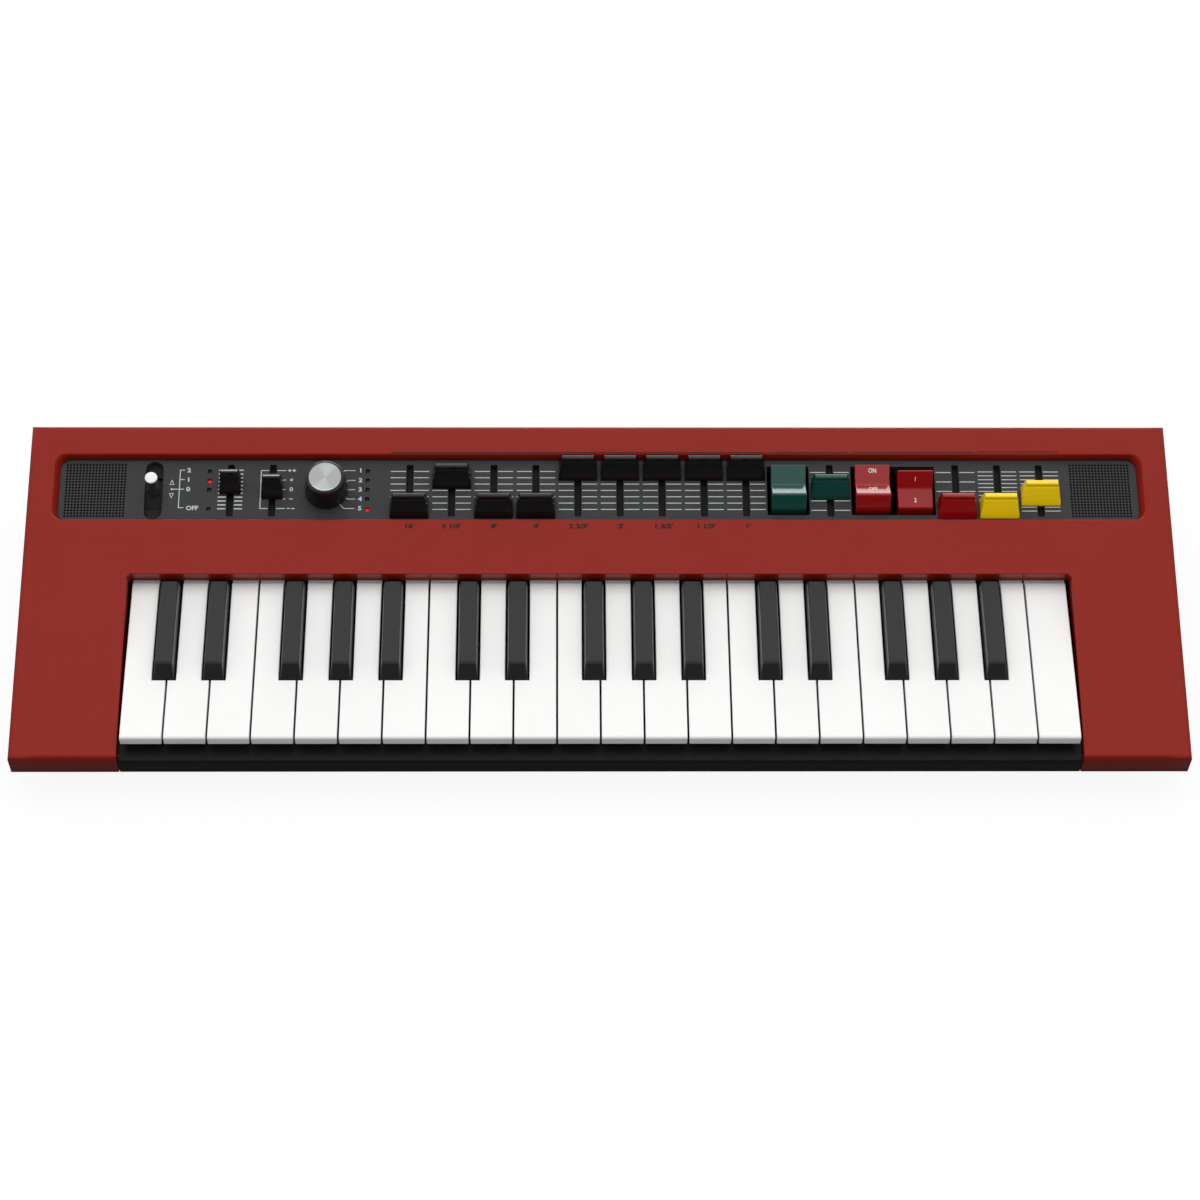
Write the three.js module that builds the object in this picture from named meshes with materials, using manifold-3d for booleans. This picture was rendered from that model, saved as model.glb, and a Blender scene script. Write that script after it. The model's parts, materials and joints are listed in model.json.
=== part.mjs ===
// Combo organ with 37 mini keys. Millimetres, +Z up, the keys face -Y.
// A red top case with a sloping deck lies over a black tub that is set in below it. A sunk
// dark panel holds the grilles and the controls, and every key turns on a rail of the tub.

import * as THREE from "three";
import { mergeVertices } from "three/addons/utils/BufferGeometryUtils.js";
import Module from "manifold-3d";

const wasm = await Module();
wasm.setup();

// Case
const cheekWidth = 48.5;
const bridgeDepth = 28.545;
const deckHeight = 40.7;
const deckTiltDegrees = 9.58;
const skirtDepth = 15;
const shellWall = 2.5;
const edgeRadius = 2;
const caseCornerRadius = 4;
const openingCornerRadius = 1.5;
const tubInset = 12;
const tubFrontRun = 9;
const footHeight = 3;
const footRadius = 7;
const footInset = 13;
const coverWidth = 150;
const coverDepth = 62;
const coverGroove = 0.8;
const coverGripWidth = 18;
const coverGripDepth = 6;
const coverGripRecess = 1.5;
const screwWellRadius = 4;
const screwWellDepth = 1.2;
const screwWellInset = 24;

// Running gaps and the overrun of every cut
const clearance = 0.3;
const cutOverrun = 1;

// Keyboard
const keyPitch = 19.57;
const keyGap = 0.9;
const whiteKeyCount = 22;
const whiteKeyLength = 86.4;
const whiteKeyHeight = 5.3;
const blackKeyLength = 54;
const blackKeyRise = 6;
const blackKeyWidth = 9.4;
const blackKeyTopWidth = 7.6;
const blackKeyFrontRun = 5;
const notchWidth = 11;
const notchFrontGap = 0.7;
const keyWall = 1.6;
const keyFrontBehindDeckEdge = 7.06;
const keyFrontAboveDeck = 6.02;
const keyTailLength = 19;
const keyDip = 3.8;
const keyEdgeChamfer = 0.8;
const keyTailStep = 2.5;
const blackKeyRearMargin = 3.2;
const pivotRadius = 2;
const saddleWall = 2;
const saddleLeg = 3;
const saddleLength = 10;
const stopBehindKeyFront = 20;
const stopThickness = 3;
const openingSideGap = 1.23;
const openingRearGap = 0.4;
const openingWallDepth = 6.5;
const railDrop = 4.5;
const railDepth = 11.4;

// Sunk panel and what it carries
const panelSideMargin = 13;
const panelDepth = 34.4;
const panelRearMargin = 15.2;
const panelDrop = 4;
const panelPlate = 2;
const panelFlange = 3;
const panelCornerRadius = 5;
const panelLip = 1.5;
const slotWidth = 3;
const slotLength = 27.3;
const sliderTravel = 20;
const stemLength = 7;
const footPlate = 1.2;
const footOverlap = 2;
const capGap = 1.57;
const capDepth = 10;
const capHeight = 10.6;
const capFlankRun = 1.3;
const capRidgeDepth = 2.2;
const capRidgeRearShift = 2;
const capShoulderHeight = 2.2;
const capLipHeight = 0.8;
const smallCapWidth = 9.9;
const smallCapFlankRun = 0.85;
const knobRadius = 10.1;
const knobGripRadius = 9;
const knobTopRadius = 7.7;
const knobHeight = 13.3;
const knobTopChamfer = 0.8;
const knobShaftRadius = 3;
const knobCollarRadius = 5;
const leverSlotWidth = 8.1;
const leverSlotLength = 29.5;
const leverRadius = 3;
const leverHeight = 12.6;
const leverTopChamfer = 0.4;
const leverPivotDepth = 14;
const leverPinRadius = 1.5;
const lugGap = 10;
const lugThickness = 2;
const lugDepth = 17;
const rockerPairGap = 3.37;
const wellSideGap = 1.6;
const wellCornerRadius = 1.2;
const rockerOpeningLength = 25.6;
const rockerRidgeReach = 8.9;
const rockerRidgeHeight = 9.2;
const rockerValleyHeight = 5;
const rockerBaseReach = 12;
const rockerBaseDepth = 1;
const rockerKeelDepth = 5;
const rockerTiltDegrees = 16.4;
const rockerPinRadius = 1;
const rockerSkirtDepth = 5;
const rockerSkirtWall = 1.5;
const grilleHoleWidth = 1.4;
const grilleHolePitch = 3;
const grilleHolesAcross = 10;
const grilleFromPanelEnd = 18.15;

// Connectors in the rear wall
const jackBoreRadius = 3.3;
const jackBushRadius = 5;
const jackNutRadius = 7.5;
const jackNutThickness = 2.5;
const jackReach = 7.3;
const jackDepth = 15;
const socketBody = 14;
const socketDepth = 9;
const smallJackBoreRadius = 1.8;
const smallJackBushRadius = 3.2;
const powerInletRadius = 3.1;
const powerPinRadius = 1;
const roundSocketRadius = 4.4;
const roundSocketCoreRadius = 3;
const squareSocketWidth = 8.6;
const squareSocketHeight = 7.9;
const squareTongueWidth = 5.6;
const squareTongueHeight = 3.2;
const switchRadius = 3.6;
const switchReach = 2.2;
const connectorHeight = 21;

// Where the connectors and the screws stand, as shares of the tub's half width
const jackShares = [-0.86, -0.73, -0.6, -0.34];
const smallJackShare = -0.2;
const roundSocketShare = 0.3;
const squareSocketShare = 0.46;
const powerInletShare = 0.68;
const switchShare = 0.86;
const screwShares = [-0.84, -0.42, 0, 0.42, 0.84];

// Steps along the row of controls, which stands on the keys' pitch from the volume to the end
const leverToVolume = 35.6;
const octaveToWave = 25.1;
const waveToFootage = 38.6;
const rowMiddleShift = -0.85;
const footageCount = 9;
const placesAfterFootage = 7;

// Where the sliders stand, as shares of their travel from the back end
const footageShares = [1, 0.22, 1, 1, 0, 0, 0, 0, 0];
const volumeShare = 0.37;
const octaveShare = 0.5;
const depthShare = 0.5;
const lengthShare = 1;
const distortionShare = 1;
const reverbShare = 0.66;

// Worked out from the sizes above
const deckTilt = THREE.MathUtils.degToRad(deckTiltDegrees);
const rockerTilt = THREE.MathUtils.degToRad(rockerTiltDegrees);
const keySlope = deckTilt;
const openingHalfWidth = (whiteKeyCount * keyPitch) / 2 + openingSideGap;
const openingDepth = keyFrontBehindDeckEdge + whiteKeyLength * Math.cos(keySlope) + openingRearGap;
const halfWidth = openingHalfWidth + cheekWidth;
const halfDepth = (openingDepth + bridgeDepth + panelDepth + panelRearMargin) / 2;
const panelWidth = 2 * (halfWidth - panelSideMargin);
const keyFrontY = keyFrontBehindDeckEdge - halfDepth;
const keyReach = whiteKeyLength + keyTailLength;
const keyTop = keyTailStep + saddleWall + pivotRadius + clearance;
const keyBottom = keyTop - whiteKeyHeight;
const pivotY = keyFrontY + keyReach * Math.cos(keySlope) - keyTop * Math.sin(keySlope);
const pivotZ = keyFrontAboveDeck - keyReach * Math.sin(keySlope) - keyTop * Math.cos(keySlope);
const openingRearY = openingDepth - halfDepth;
const controlY = halfDepth - panelRearMargin - panelDepth / 2;
const footageToEnd = (footageCount + placesAfterFootage - 1) * keyPitch;
const rowLength = leverToVolume + keyPitch + octaveToWave + waveToFootage + footageToEnd;
const leverX = rowMiddleShift - rowLength / 2;
const volumeX = leverX + leverToVolume;
const octaveX = volumeX + keyPitch;
const waveX = octaveX + octaveToWave;
const footageX = waveX + waveToFootage;
const vibratoX = footageX + footageCount * keyPitch;
const depthX = vibratoX + keyPitch;
const percussionX = depthX + keyPitch;
const percussionTypeX = percussionX + keyPitch;
const lengthX = percussionTypeX + keyPitch;
const capWidth = keyPitch - capGap;
const rockerWidth = keyPitch - rockerPairGap;
const wellHalfWidth = rockerWidth / 2 + wellSideGap;
const tubHalfWidth = halfWidth - tubInset;
const tubRearY = halfDepth - shellWall - clearance;
const tubFrontY = tubInset - halfDepth;
const arcSteps = 4;

// Closed solids from three.js geometry

function solid(piece) {
  if (!piece.isBufferGeometry) {
    return piece;
  }
  const bare = piece.clone();
  bare.deleteAttribute("normal");
  bare.deleteAttribute("uv");
  const merged = mergeVertices(bare);
  const mesh = new wasm.Mesh({
    numProp: 3,
    vertProperties: new Float32Array(merged.attributes.position.array),
    triVerts: new Uint32Array(merged.index.array),
  });
  return new wasm.Manifold(mesh);
}

function join(...pieces) {
  return pieces.map(solid).reduce((whole, piece) => whole.add(piece));
}

function cut(body, ...pieces) {
  return pieces.map(solid).reduce((whole, piece) => whole.subtract(piece), solid(body));
}

function common(...pieces) {
  return pieces.map(solid).reduce((whole, piece) => whole.intersect(piece));
}

function geometryOf(body) {
  const mesh = solid(body).getMesh();
  const geometry = new THREE.BufferGeometry();
  geometry.setAttribute("position", new THREE.BufferAttribute(mesh.vertProperties, mesh.numProp));
  geometry.setIndex(new THREE.BufferAttribute(mesh.triVerts, 1));
  geometry.computeVertexNormals();
  return geometry;
}

// Basic shapes, each given by its limits along X, Y and Z

function block([x0, x1], [y0, y1], [z0, z1]) {
  const geometry = new THREE.BoxGeometry(x1 - x0, y1 - y0, z1 - z0);
  return geometry.translate((x0 + x1) / 2, (y0 + y1) / 2, (z0 + z1) / 2);
}

function extruded(points, depth) {
  const shape = new THREE.Shape(points.map(([u, v]) => new THREE.Vector2(u, v)));
  return new THREE.ExtrudeGeometry(shape, { depth, bevelEnabled: false });
}

function prismAlongX(points, [x0, x1]) {
  const turn = new THREE.Matrix4().set(0, 0, 1, x0, 1, 0, 0, 0, 0, 1, 0, 0, 0, 0, 0, 1);
  return extruded(points, x1 - x0).applyMatrix4(turn);
}

function prismAlongY(points, [y0, y1]) {
  return extruded(points, y1 - y0).rotateX(Math.PI / 2).translate(0, y1, 0);
}

function prismAlongZ(points, [z0, z1]) {
  return extruded(points, z1 - z0).translate(0, 0, z0);
}

function roundBarAlongX(radius, [x0, x1], sides) {
  const bar = new THREE.CylinderGeometry(radius, radius, x1 - x0, sides).rotateZ(Math.PI / 2);
  return bar.translate((x0 + x1) / 2, 0, 0);
}

function roundBarAlongY(radius, [y0, y1], sides) {
  const bar = new THREE.CylinderGeometry(radius, radius, y1 - y0, sides);
  return bar.translate(0, (y0 + y1) / 2, 0);
}

function roundBarAlongZ(radius, [z0, z1], sides) {
  const bar = new THREE.CylinderGeometry(radius, radius, z1 - z0, sides).rotateX(Math.PI / 2);
  return bar.translate(0, 0, (z0 + z1) / 2);
}

// An outline of right-angled corners [x, y, radius], with each corner rounded by an arc
function roundedOutline(corners) {
  const points = [];
  corners.forEach(([x, y, radius], index) => {
    const corner = new THREE.Vector2(x, y);
    const before = corners[(index + corners.length - 1) % corners.length];
    const after = corners[(index + 1) % corners.length];
    const back = new THREE.Vector2(before[0], before[1]).sub(corner).normalize();
    const ahead = new THREE.Vector2(after[0], after[1]).sub(corner).normalize();
    const centre = corner.clone().addScaledVector(back, radius).addScaledVector(ahead, radius);
    for (let step = 0; step <= arcSteps; step += 1) {
      const angle = ((step / arcSteps) * Math.PI) / 2;
      const point = centre.clone().addScaledVector(ahead, -radius * Math.cos(angle));
      point.addScaledVector(back, -radius * Math.sin(angle));
      points.push([point.x, point.y]);
    }
  });
  return points;
}

function roundedRectangle([x0, x1], [y0, y1], radius) {
  return roundedOutline([[x0, y0, radius], [x1, y0, radius], [x1, y1, radius], [x0, y1, radius]]);
}

// The deck's outline, a broad rectangle with the keyboard's opening cut into its front
function deckOutline(inset) {
  const outer = Math.max(caseCornerRadius - inset, caseCornerRadius / 4);
  const inner = openingCornerRadius + inset;
  const side = halfWidth - inset;
  const front = inset - halfDepth;
  const rear = halfDepth - inset;
  const cheek = openingHalfWidth + inset;
  const back = openingRearY + inset;
  return roundedOutline([
    [-side, front, outer],
    [-cheek, front, outer / 2],
    [-cheek, back, inner],
    [cheek, back, inner],
    [cheek, front, outer / 2],
    [side, front, outer],
    [side, rear, outer],
    [-side, rear, outer],
  ]);
}

function windowOutline(growth) {
  const across = panelWidth / 2 + growth;
  const along = panelDepth / 2 + growth;
  const radius = panelCornerRadius + growth;
  return roundedRectangle([-across, across], [controlY - along, controlY + along], radius);
}

// Red top case: one moulded shell with rounded top edges, open below
function topCase() {
  const outline = deckOutline(edgeRadius).map(([x, y]) => new THREE.Vector2(x, y));
  const outside = new THREE.ExtrudeGeometry(new THREE.Shape(outline), {
    depth: skirtDepth,
    bevelSize: edgeRadius,
    bevelThickness: edgeRadius,
    bevelSegments: 3,
  });
  outside.translate(0, 0, -skirtDepth - edgeRadius);
  const wide = [-halfWidth - cutOverrun, halfWidth + cutOverrun];
  const long = [-halfDepth - cutOverrun, halfDepth + cutOverrun];
  const below = block(wide, long, [-skirtDepth - edgeRadius - cutOverrun - skirtDepth, -skirtDepth]);
  const hollow = prismAlongZ(deckOutline(shellWall), [-skirtDepth - cutOverrun, -shellWall]);
  const lip = prismAlongZ(windowOutline(panelLip), [clearance - panelDrop, -shellWall / 2]);
  const window = prismAlongZ(windowOutline(0), [-panelDrop - cutOverrun, cutOverrun]);
  const inside = halfWidth - shellWall;
  const seat = block(
    [-inside, inside],
    [shellWall - halfDepth, halfDepth - shellWall],
    [-skirtDepth - cutOverrun, clearance + shellWall - skirtDepth],
  );
  const wallEnd = block(
    [-openingHalfWidth - shellWall, openingHalfWidth + shellWall],
    [openingRearY - openingCornerRadius, openingRearY + shellWall + openingCornerRadius],
    [-skirtDepth - cutOverrun, -openingWallDepth],
  );
  return cut(join(cut(outside, below, hollow), lip), window, seat, wallEnd);
}

// Dark control panel: a plate below the deck's window, with slots, wells and lugs
function controlPanel() {
  const top = -panelDrop;
  const bottom = top - panelPlate;
  const through = [bottom - cutOverrun, top + cutOverrun];
  let plate = prismAlongZ(windowOutline(panelFlange), [bottom, top]);
  const cuts = [];
  sliders.forEach(({ x }) => {
    const reach = slotLength / 2;
    cuts.push(block([x - slotWidth / 2, x + slotWidth / 2], [controlY - reach, controlY + reach], through));
  });
  const shaftHole = roundBarAlongZ(knobShaftRadius + clearance, through, 16);
  cuts.push(shaftHole.translate(waveX, controlY, 0));
  const leverAcross = [leverX - leverSlotWidth / 2, leverX + leverSlotWidth / 2];
  const leverAlong = [controlY - leverSlotLength / 2, controlY + leverSlotLength / 2];
  const leverSlot = roundedRectangle(leverAcross, leverAlong, leverSlotWidth / 2);
  cuts.push(prismAlongZ(leverSlot, through));
  const wellReach = rockerOpeningLength / 2;
  wells.forEach(([x0, x1]) => {
    const along = [controlY - wellReach, controlY + wellReach];
    const skirt = block(
      [x0 - rockerSkirtWall, x1 + rockerSkirtWall],
      [controlY - wellReach - rockerSkirtWall, controlY + wellReach + rockerSkirtWall],
      [bottom - rockerSkirtDepth, top],
    );
    const well = [bottom - rockerSkirtDepth - cutOverrun, top + cutOverrun];
    plate = join(plate, skirt);
    cuts.push(prismAlongZ(roundedRectangle([x0, x1], along, wellCornerRadius), well));
  });
  [-1, 1].forEach((side) => {
    const inner = leverX + (side * lugGap) / 2;
    const outer = inner + side * lugThickness;
    const across = [Math.min(inner, outer), Math.max(inner, outer)];
    const along = [controlY - lugGap / 2, controlY + lugGap / 2];
    plate = join(plate, block(across, along, [bottom - lugDepth, top - panelPlate / 2]));
  });
  const grilleStart = ((1 - grilleHolesAcross) * grilleHolePitch) / 2;
  [-1, 1].forEach((side) => {
    const middle = side * (panelWidth / 2 - grilleFromPanelEnd);
    for (let hole = 0; hole < grilleHolesAcross ** 2; hole += 1) {
      const x = middle + grilleStart + (hole % grilleHolesAcross) * grilleHolePitch;
      const y = controlY + grilleStart + Math.floor(hole / grilleHolesAcross) * grilleHolePitch;
      const half = grilleHoleWidth / 2;
      cuts.push(block([x - half, x + half], [y - half, y + half], through));
    }
  });
  return cut(plate, ...cuts);
}

// A point of the deck's frame, given along the slope and above it, in the table's frame
function deckPoint(y, z) {
  const sine = Math.sin(deckTilt);
  const cosine = Math.cos(deckTilt);
  return [y * cosine - z * sine, deckHeight + y * sine + z * cosine];
}

// A point of the keys' frame, which starts at their pivot, in the deck's frame
function keyPoint(y, z) {
  const sine = Math.sin(keySlope);
  const cosine = Math.cos(keySlope);
  return [pivotY + y * cosine + z * sine, pivotZ - y * sine + z * cosine];
}

// Connectors: each is a body behind the rear wall with a bore or a recess that opens to the rear

function connectors(wallY) {
  const added = [];
  const removed = [];
  const bodyHalf = socketBody / 2;
  const bodyAt = (x, depth) => block(
    [x - bodyHalf, x + bodyHalf],
    [wallY - shellWall - depth, wallY - shellWall / 2],
    [connectorHeight - bodyHalf, connectorHeight + bodyHalf],
  );
  const barAt = (x, radius, along, sides) => {
    const bar = roundBarAlongY(radius, along, sides);
    return bar.translate(x, 0, connectorHeight);
  };
  const boxAt = (x, width, height, along) => block(
    [x - width / 2, x + width / 2],
    along,
    [connectorHeight - height / 2, connectorHeight + height / 2],
  );
  const seat = wallY - shellWall / 2;
  const socketBottom = wallY - socketDepth;
  const jackBottom = wallY + jackReach - jackDepth;

  jackShares.forEach((share) => {
    const x = share * tubHalfWidth;
    added.push(bodyAt(x, jackDepth - jackReach));
    added.push(barAt(x, jackNutRadius, [seat, wallY + jackNutThickness], 6));
    added.push(barAt(x, jackBushRadius, [seat, wallY + jackReach], 16));
    removed.push(barAt(x, jackBoreRadius, [jackBottom, wallY + jackReach + cutOverrun], 16));
  });

  const smallX = smallJackShare * tubHalfWidth;
  added.push(bodyAt(smallX, socketDepth));
  added.push(barAt(smallX, smallJackBushRadius, [seat, wallY + shellWall / 2], 16));
  removed.push(barAt(smallX, smallJackBoreRadius, [socketBottom, wallY + shellWall], 12));

  const roundX = roundSocketShare * tubHalfWidth;
  added.push(bodyAt(roundX, socketDepth));
  const ring = cut(
    barAt(roundX, roundSocketRadius, [socketBottom, wallY + cutOverrun], 20),
    barAt(roundX, roundSocketCoreRadius, [socketBottom - cutOverrun, wallY - clearance], 16),
  );
  removed.push(ring);

  const squareX = squareSocketShare * tubHalfWidth;
  added.push(bodyAt(squareX, socketDepth));
  const mouth = cut(
    boxAt(squareX, squareSocketWidth, squareSocketHeight, [socketBottom, wallY + cutOverrun]),
    boxAt(squareX, squareTongueWidth, squareTongueHeight, [socketBottom - cutOverrun, wallY - cutOverrun]),
  );
  removed.push(mouth);

  const inletX = powerInletShare * tubHalfWidth;
  added.push(bodyAt(inletX, socketDepth));
  const inlet = cut(
    barAt(inletX, powerInletRadius, [socketBottom, wallY + cutOverrun], 16),
    barAt(inletX, powerPinRadius, [socketBottom - cutOverrun, wallY - cutOverrun], 8),
  );
  removed.push(inlet);

  added.push(barAt(switchShare * tubHalfWidth, switchRadius, [seat, wallY + switchReach], 16));
  return { added, removed };
}

// Recesses in the underside: the line round the battery cover, its grip and the screw wells
function baseRecesses(frontY, rearY) {
  const middle = (frontY + rearY) / 2;
  const coverFront = middle - coverDepth / 2;
  const coverBlock = (inset, [low, high]) => block(
    [inset - coverWidth / 2, coverWidth / 2 - inset],
    [coverFront + inset, coverFront + coverDepth - inset],
    [footHeight - low, footHeight + high],
  );
  const line = cut(
    coverBlock(0, [cutOverrun, coverGroove]),
    coverBlock(coverGroove, [2 * cutOverrun, coverGroove + cutOverrun]),
  );
  const gripFront = coverFront + 2 * coverGroove;
  const grip = block(
    [-coverGripWidth / 2, coverGripWidth / 2],
    [gripFront, gripFront + coverGripDepth],
    [footHeight - cutOverrun, footHeight + coverGripRecess],
  );
  const recesses = [line, grip];
  const wellHeights = [footHeight - cutOverrun, footHeight + screwWellDepth];
  screwShares.forEach((share) => {
    [frontY + screwWellInset, rearY - screwWellInset].forEach((y) => {
      const well = roundBarAlongZ(screwWellRadius, wellHeights, 12);
      recesses.push(well.translate(share * tubHalfWidth, y, 0));
    });
  });
  return recesses;
}

// Black bottom case: tub, base plate, front rail, key rail, key stop and feet in one moulding
function bottomCase() {
  const onDeck = new THREE.Matrix4().makeRotationX(deckTilt).setPosition(0, 0, deckHeight);
  const plateTop = shellWall - skirtDepth;
  const plateHalf = halfWidth - shellWall - clearance;
  const floorTop = footHeight + shellWall;
  const [frontTopY, frontTopZ] = deckPoint(tubFrontY, plateTop);
  const [rearTopY, rearTopZ] = deckPoint(tubRearY, plateTop);
  const outside = prismAlongX([
    [frontTopY, frontTopZ],
    [frontTopY + tubFrontRun, footHeight],
    [rearTopY, footHeight],
    [rearTopY, rearTopZ],
  ], [-tubHalfWidth, tubHalfWidth]);
  const lift = cutOverrun * Math.tan(deckTilt);
  const inside = prismAlongX([
    [frontTopY + shellWall, frontTopZ + cutOverrun],
    [frontTopY + tubFrontRun + shellWall, floorTop],
    [rearTopY - shellWall, floorTop],
    [rearTopY - shellWall, rearTopZ + cutOverrun + lift],
  ], [shellWall - tubHalfWidth, tubHalfWidth - shellWall]);
  const plate = block([-plateHalf, plateHalf], [-tubRearY, tubRearY], [-skirtDepth, plateTop]);
  const railHalf = openingHalfWidth - clearance;
  const rail = prismAlongX([
    [-halfDepth, -skirtDepth],
    [railDepth - halfDepth, -skirtDepth],
    [railDepth - halfDepth, plateTop],
    [shellWall - halfDepth, plateTop],
    [shellWall - halfDepth, -railDrop - shellWall],
    [railDepth - halfDepth, -railDrop - shellWall],
    [railDepth - halfDepth, -railDrop],
    [edgeRadius / 2 - halfDepth, -railDrop],
    [-halfDepth, -railDrop - edgeRadius / 2],
  ], [-railHalf, railHalf]);
  const shell = cut(join(outside, plate.applyMatrix4(onDeck)), inside);

  const [turnY, turnZ] = deckPoint(pivotY, pivotZ);
  const root = floorTop - shellWall / 2;
  const keyRail = [[turnY - pivotRadius, root], [turnY + pivotRadius, root]];
  const headSteps = 2 * arcSteps;
  for (let step = 0; step <= headSteps; step += 1) {
    const angle = (step / headSteps) * Math.PI;
    keyRail.push([turnY + pivotRadius * Math.cos(angle), turnZ + pivotRadius * Math.sin(angle)]);
  }
  const keySpan = [clearance - openingHalfWidth, openingHalfWidth - clearance];
  const stopReach = keyReach - stopBehindKeyFront;
  const stopDrop = (keyDip * stopReach) / keyReach + clearance;
  const [stopY, stopZ] = deckPoint(...keyPoint(-stopReach, keyBottom - stopDrop));
  const stop = block(keySpan, [stopY - stopThickness / 2, stopY + stopThickness / 2], [root, stopZ]);

  const baseFrontY = frontTopY + tubFrontRun;
  const feet = [];
  const footX = tubHalfWidth - footInset;
  const footYs = [baseFrontY + footInset, rearTopY - footInset];
  footYs.forEach((y) => {
    [-footX, footX].forEach((x) => {
      const foot = roundBarAlongZ(footRadius, [0, footHeight + shellWall / 2], 20);
      feet.push(foot.translate(x, y, 0));
    });
  });
  const { added, removed } = connectors(rearTopY);
  removed.push(...baseRecesses(baseFrontY, rearTopY));
  const rails = join(rail.applyMatrix4(onDeck), prismAlongX(keyRail, keySpan), stop);
  return cut(join(shell, rails, ...feet, ...added), ...removed);
}

// Keys

// The saddle under a key's tail, an arch that sits over the round head of the key rail
function saddleCut(xs) {
  const radius = pivotRadius + clearance;
  const outline = [[-radius, -saddleLeg - cutOverrun], [radius, -saddleLeg - cutOverrun]];
  const steps = 2 * arcSteps;
  for (let step = 0; step <= steps; step += 1) {
    const angle = (step / steps) * Math.PI;
    outline.push([radius * Math.cos(angle), radius * Math.sin(angle)]);
  }
  return prismAlongX(outline, xs);
}

// A white key seen from above; the cuts beside it are where the black keys pass
function whiteKeyPlan(leftCut, rightCut, shoulder, inset) {
  const side = (keyPitch - keyGap) / 2 - inset;
  const left = Math.max(leftCut + inset, -side);
  const right = Math.min(rightCut - inset, side);
  const rear = inset === 0 ? saddleLength / 2 : -keyTailLength - inset;
  const front = inset - keyReach;
  const points = [[-side, front], [side, front]];
  if (right < side) {
    points.push([side, shoulder - inset], [right, shoulder - inset]);
  }
  points.push([right, rear], [left, rear]);
  if (left > -side) {
    points.push([left, shoulder - inset], [-side, shoulder - inset]);
  }
  return points;
}

function whiteKey(leftCut, rightCut) {
  const shoulder = -keyTailLength - whiteKeyLength + (whiteKeyLength - blackKeyLength) - notchFrontGap;
  const plan = whiteKeyPlan(leftCut, rightCut, shoulder, 0);
  const hollowPlan = whiteKeyPlan(leftCut, rightCut, shoulder, keyWall);
  const tailTop = keyTop - keyTailStep;
  const side = [
    [-keyReach, keyBottom],
    [-saddleLength / 2, keyBottom],
    [-saddleLength / 2, -saddleLeg],
    [saddleLength / 2, -saddleLeg],
    [saddleLength / 2, tailTop],
    [-keyTailLength, tailTop],
    [-keyTailLength, keyTop],
    [keyEdgeChamfer - keyReach, keyTop],
    [-keyReach, keyTop - keyEdgeChamfer],
  ];
  const wide = [-keyPitch / 2, keyPitch / 2];
  const tall = [-saddleLeg - cutOverrun, keyTop + cutOverrun];
  const body = common(prismAlongZ(plan, tall), prismAlongX(side, wide));
  const hollow = prismAlongZ(hollowPlan, [keyBottom - cutOverrun, keyTop - keyWall]);
  return cut(body, hollow, saddleCut([-keyPitch, keyPitch]));
}

function blackKey() {
  const front = -keyTailLength - blackKeyLength;
  const top = keyTop + blackKeyRise;
  const rear = -keyTailLength - blackKeyRearMargin;
  const half = blackKeyWidth / 2;
  const side = [
    [front, keyBottom],
    [-saddleLength / 2, keyBottom],
    [-saddleLength / 2, -saddleLeg],
    [saddleLength / 2, -saddleLeg],
    [saddleLength / 2, keyTop - keyTailStep],
    [rear, keyTop - keyTailStep],
    [rear, top],
    [front + blackKeyFrontRun, top],
    [front, keyTop],
  ];
  const section = [
    [-half, -saddleLeg - cutOverrun],
    [half, -saddleLeg - cutOverrun],
    [half, keyTop],
    [blackKeyTopWidth / 2, top],
    [-blackKeyTopWidth / 2, top],
    [-half, keyTop],
  ];
  const long = [front - cutOverrun, saddleLength];
  const body = common(prismAlongX(side, [-half, half]), prismAlongY(section, long));
  const hollow = block(
    [keyWall - half, half - keyWall],
    [front + keyWall, rear - keyWall],
    [keyBottom - cutOverrun, keyTop],
  );
  return cut(body, hollow, saddleCut([-keyPitch, keyPitch]));
}

// Controls, each drawn about its own pivot or seat on the panel's face

// A slider: moulded cap over a stem through the slot, held by a foot under the panel
function slider(width, ridgeWidth) {
  const front = -capDepth / 2;
  const ridgeFront = capRidgeRearShift - capRidgeDepth / 2;
  const ridgeRear = capRidgeRearShift + capRidgeDepth / 2;
  const profile = [
    [front, clearance],
    [-front, clearance],
    [-front, capShoulderHeight],
    [ridgeRear, capHeight - capRidgeDepth / 2],
    [capRidgeRearShift, capHeight],
    [ridgeFront, capHeight - capRidgeDepth / 2],
    [front, capLipHeight],
  ];
  const flanks = [
    [-width / 2, 0],
    [width / 2, 0],
    [width / 2, capShoulderHeight],
    [ridgeWidth / 2, capHeight + clearance],
    [-ridgeWidth / 2, capHeight + clearance],
    [-width / 2, capShoulderHeight],
  ];
  const cap = common(prismAlongX(profile, [-width, width]), prismAlongY(flanks, [-capDepth, capDepth]));
  const stemHalf = slotWidth / 2 - clearance;
  const under = -panelPlate - clearance;
  const along = [-stemLength / 2, stemLength / 2];
  const stem = block([-stemHalf, stemHalf], along, [under - footPlate / 2, capShoulderHeight]);
  const footHalf = slotWidth / 2 + footOverlap;
  const foot = block([-footHalf, footHalf], along, [under - footPlate, under]);
  return join(cap, stem, foot);
}

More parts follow.
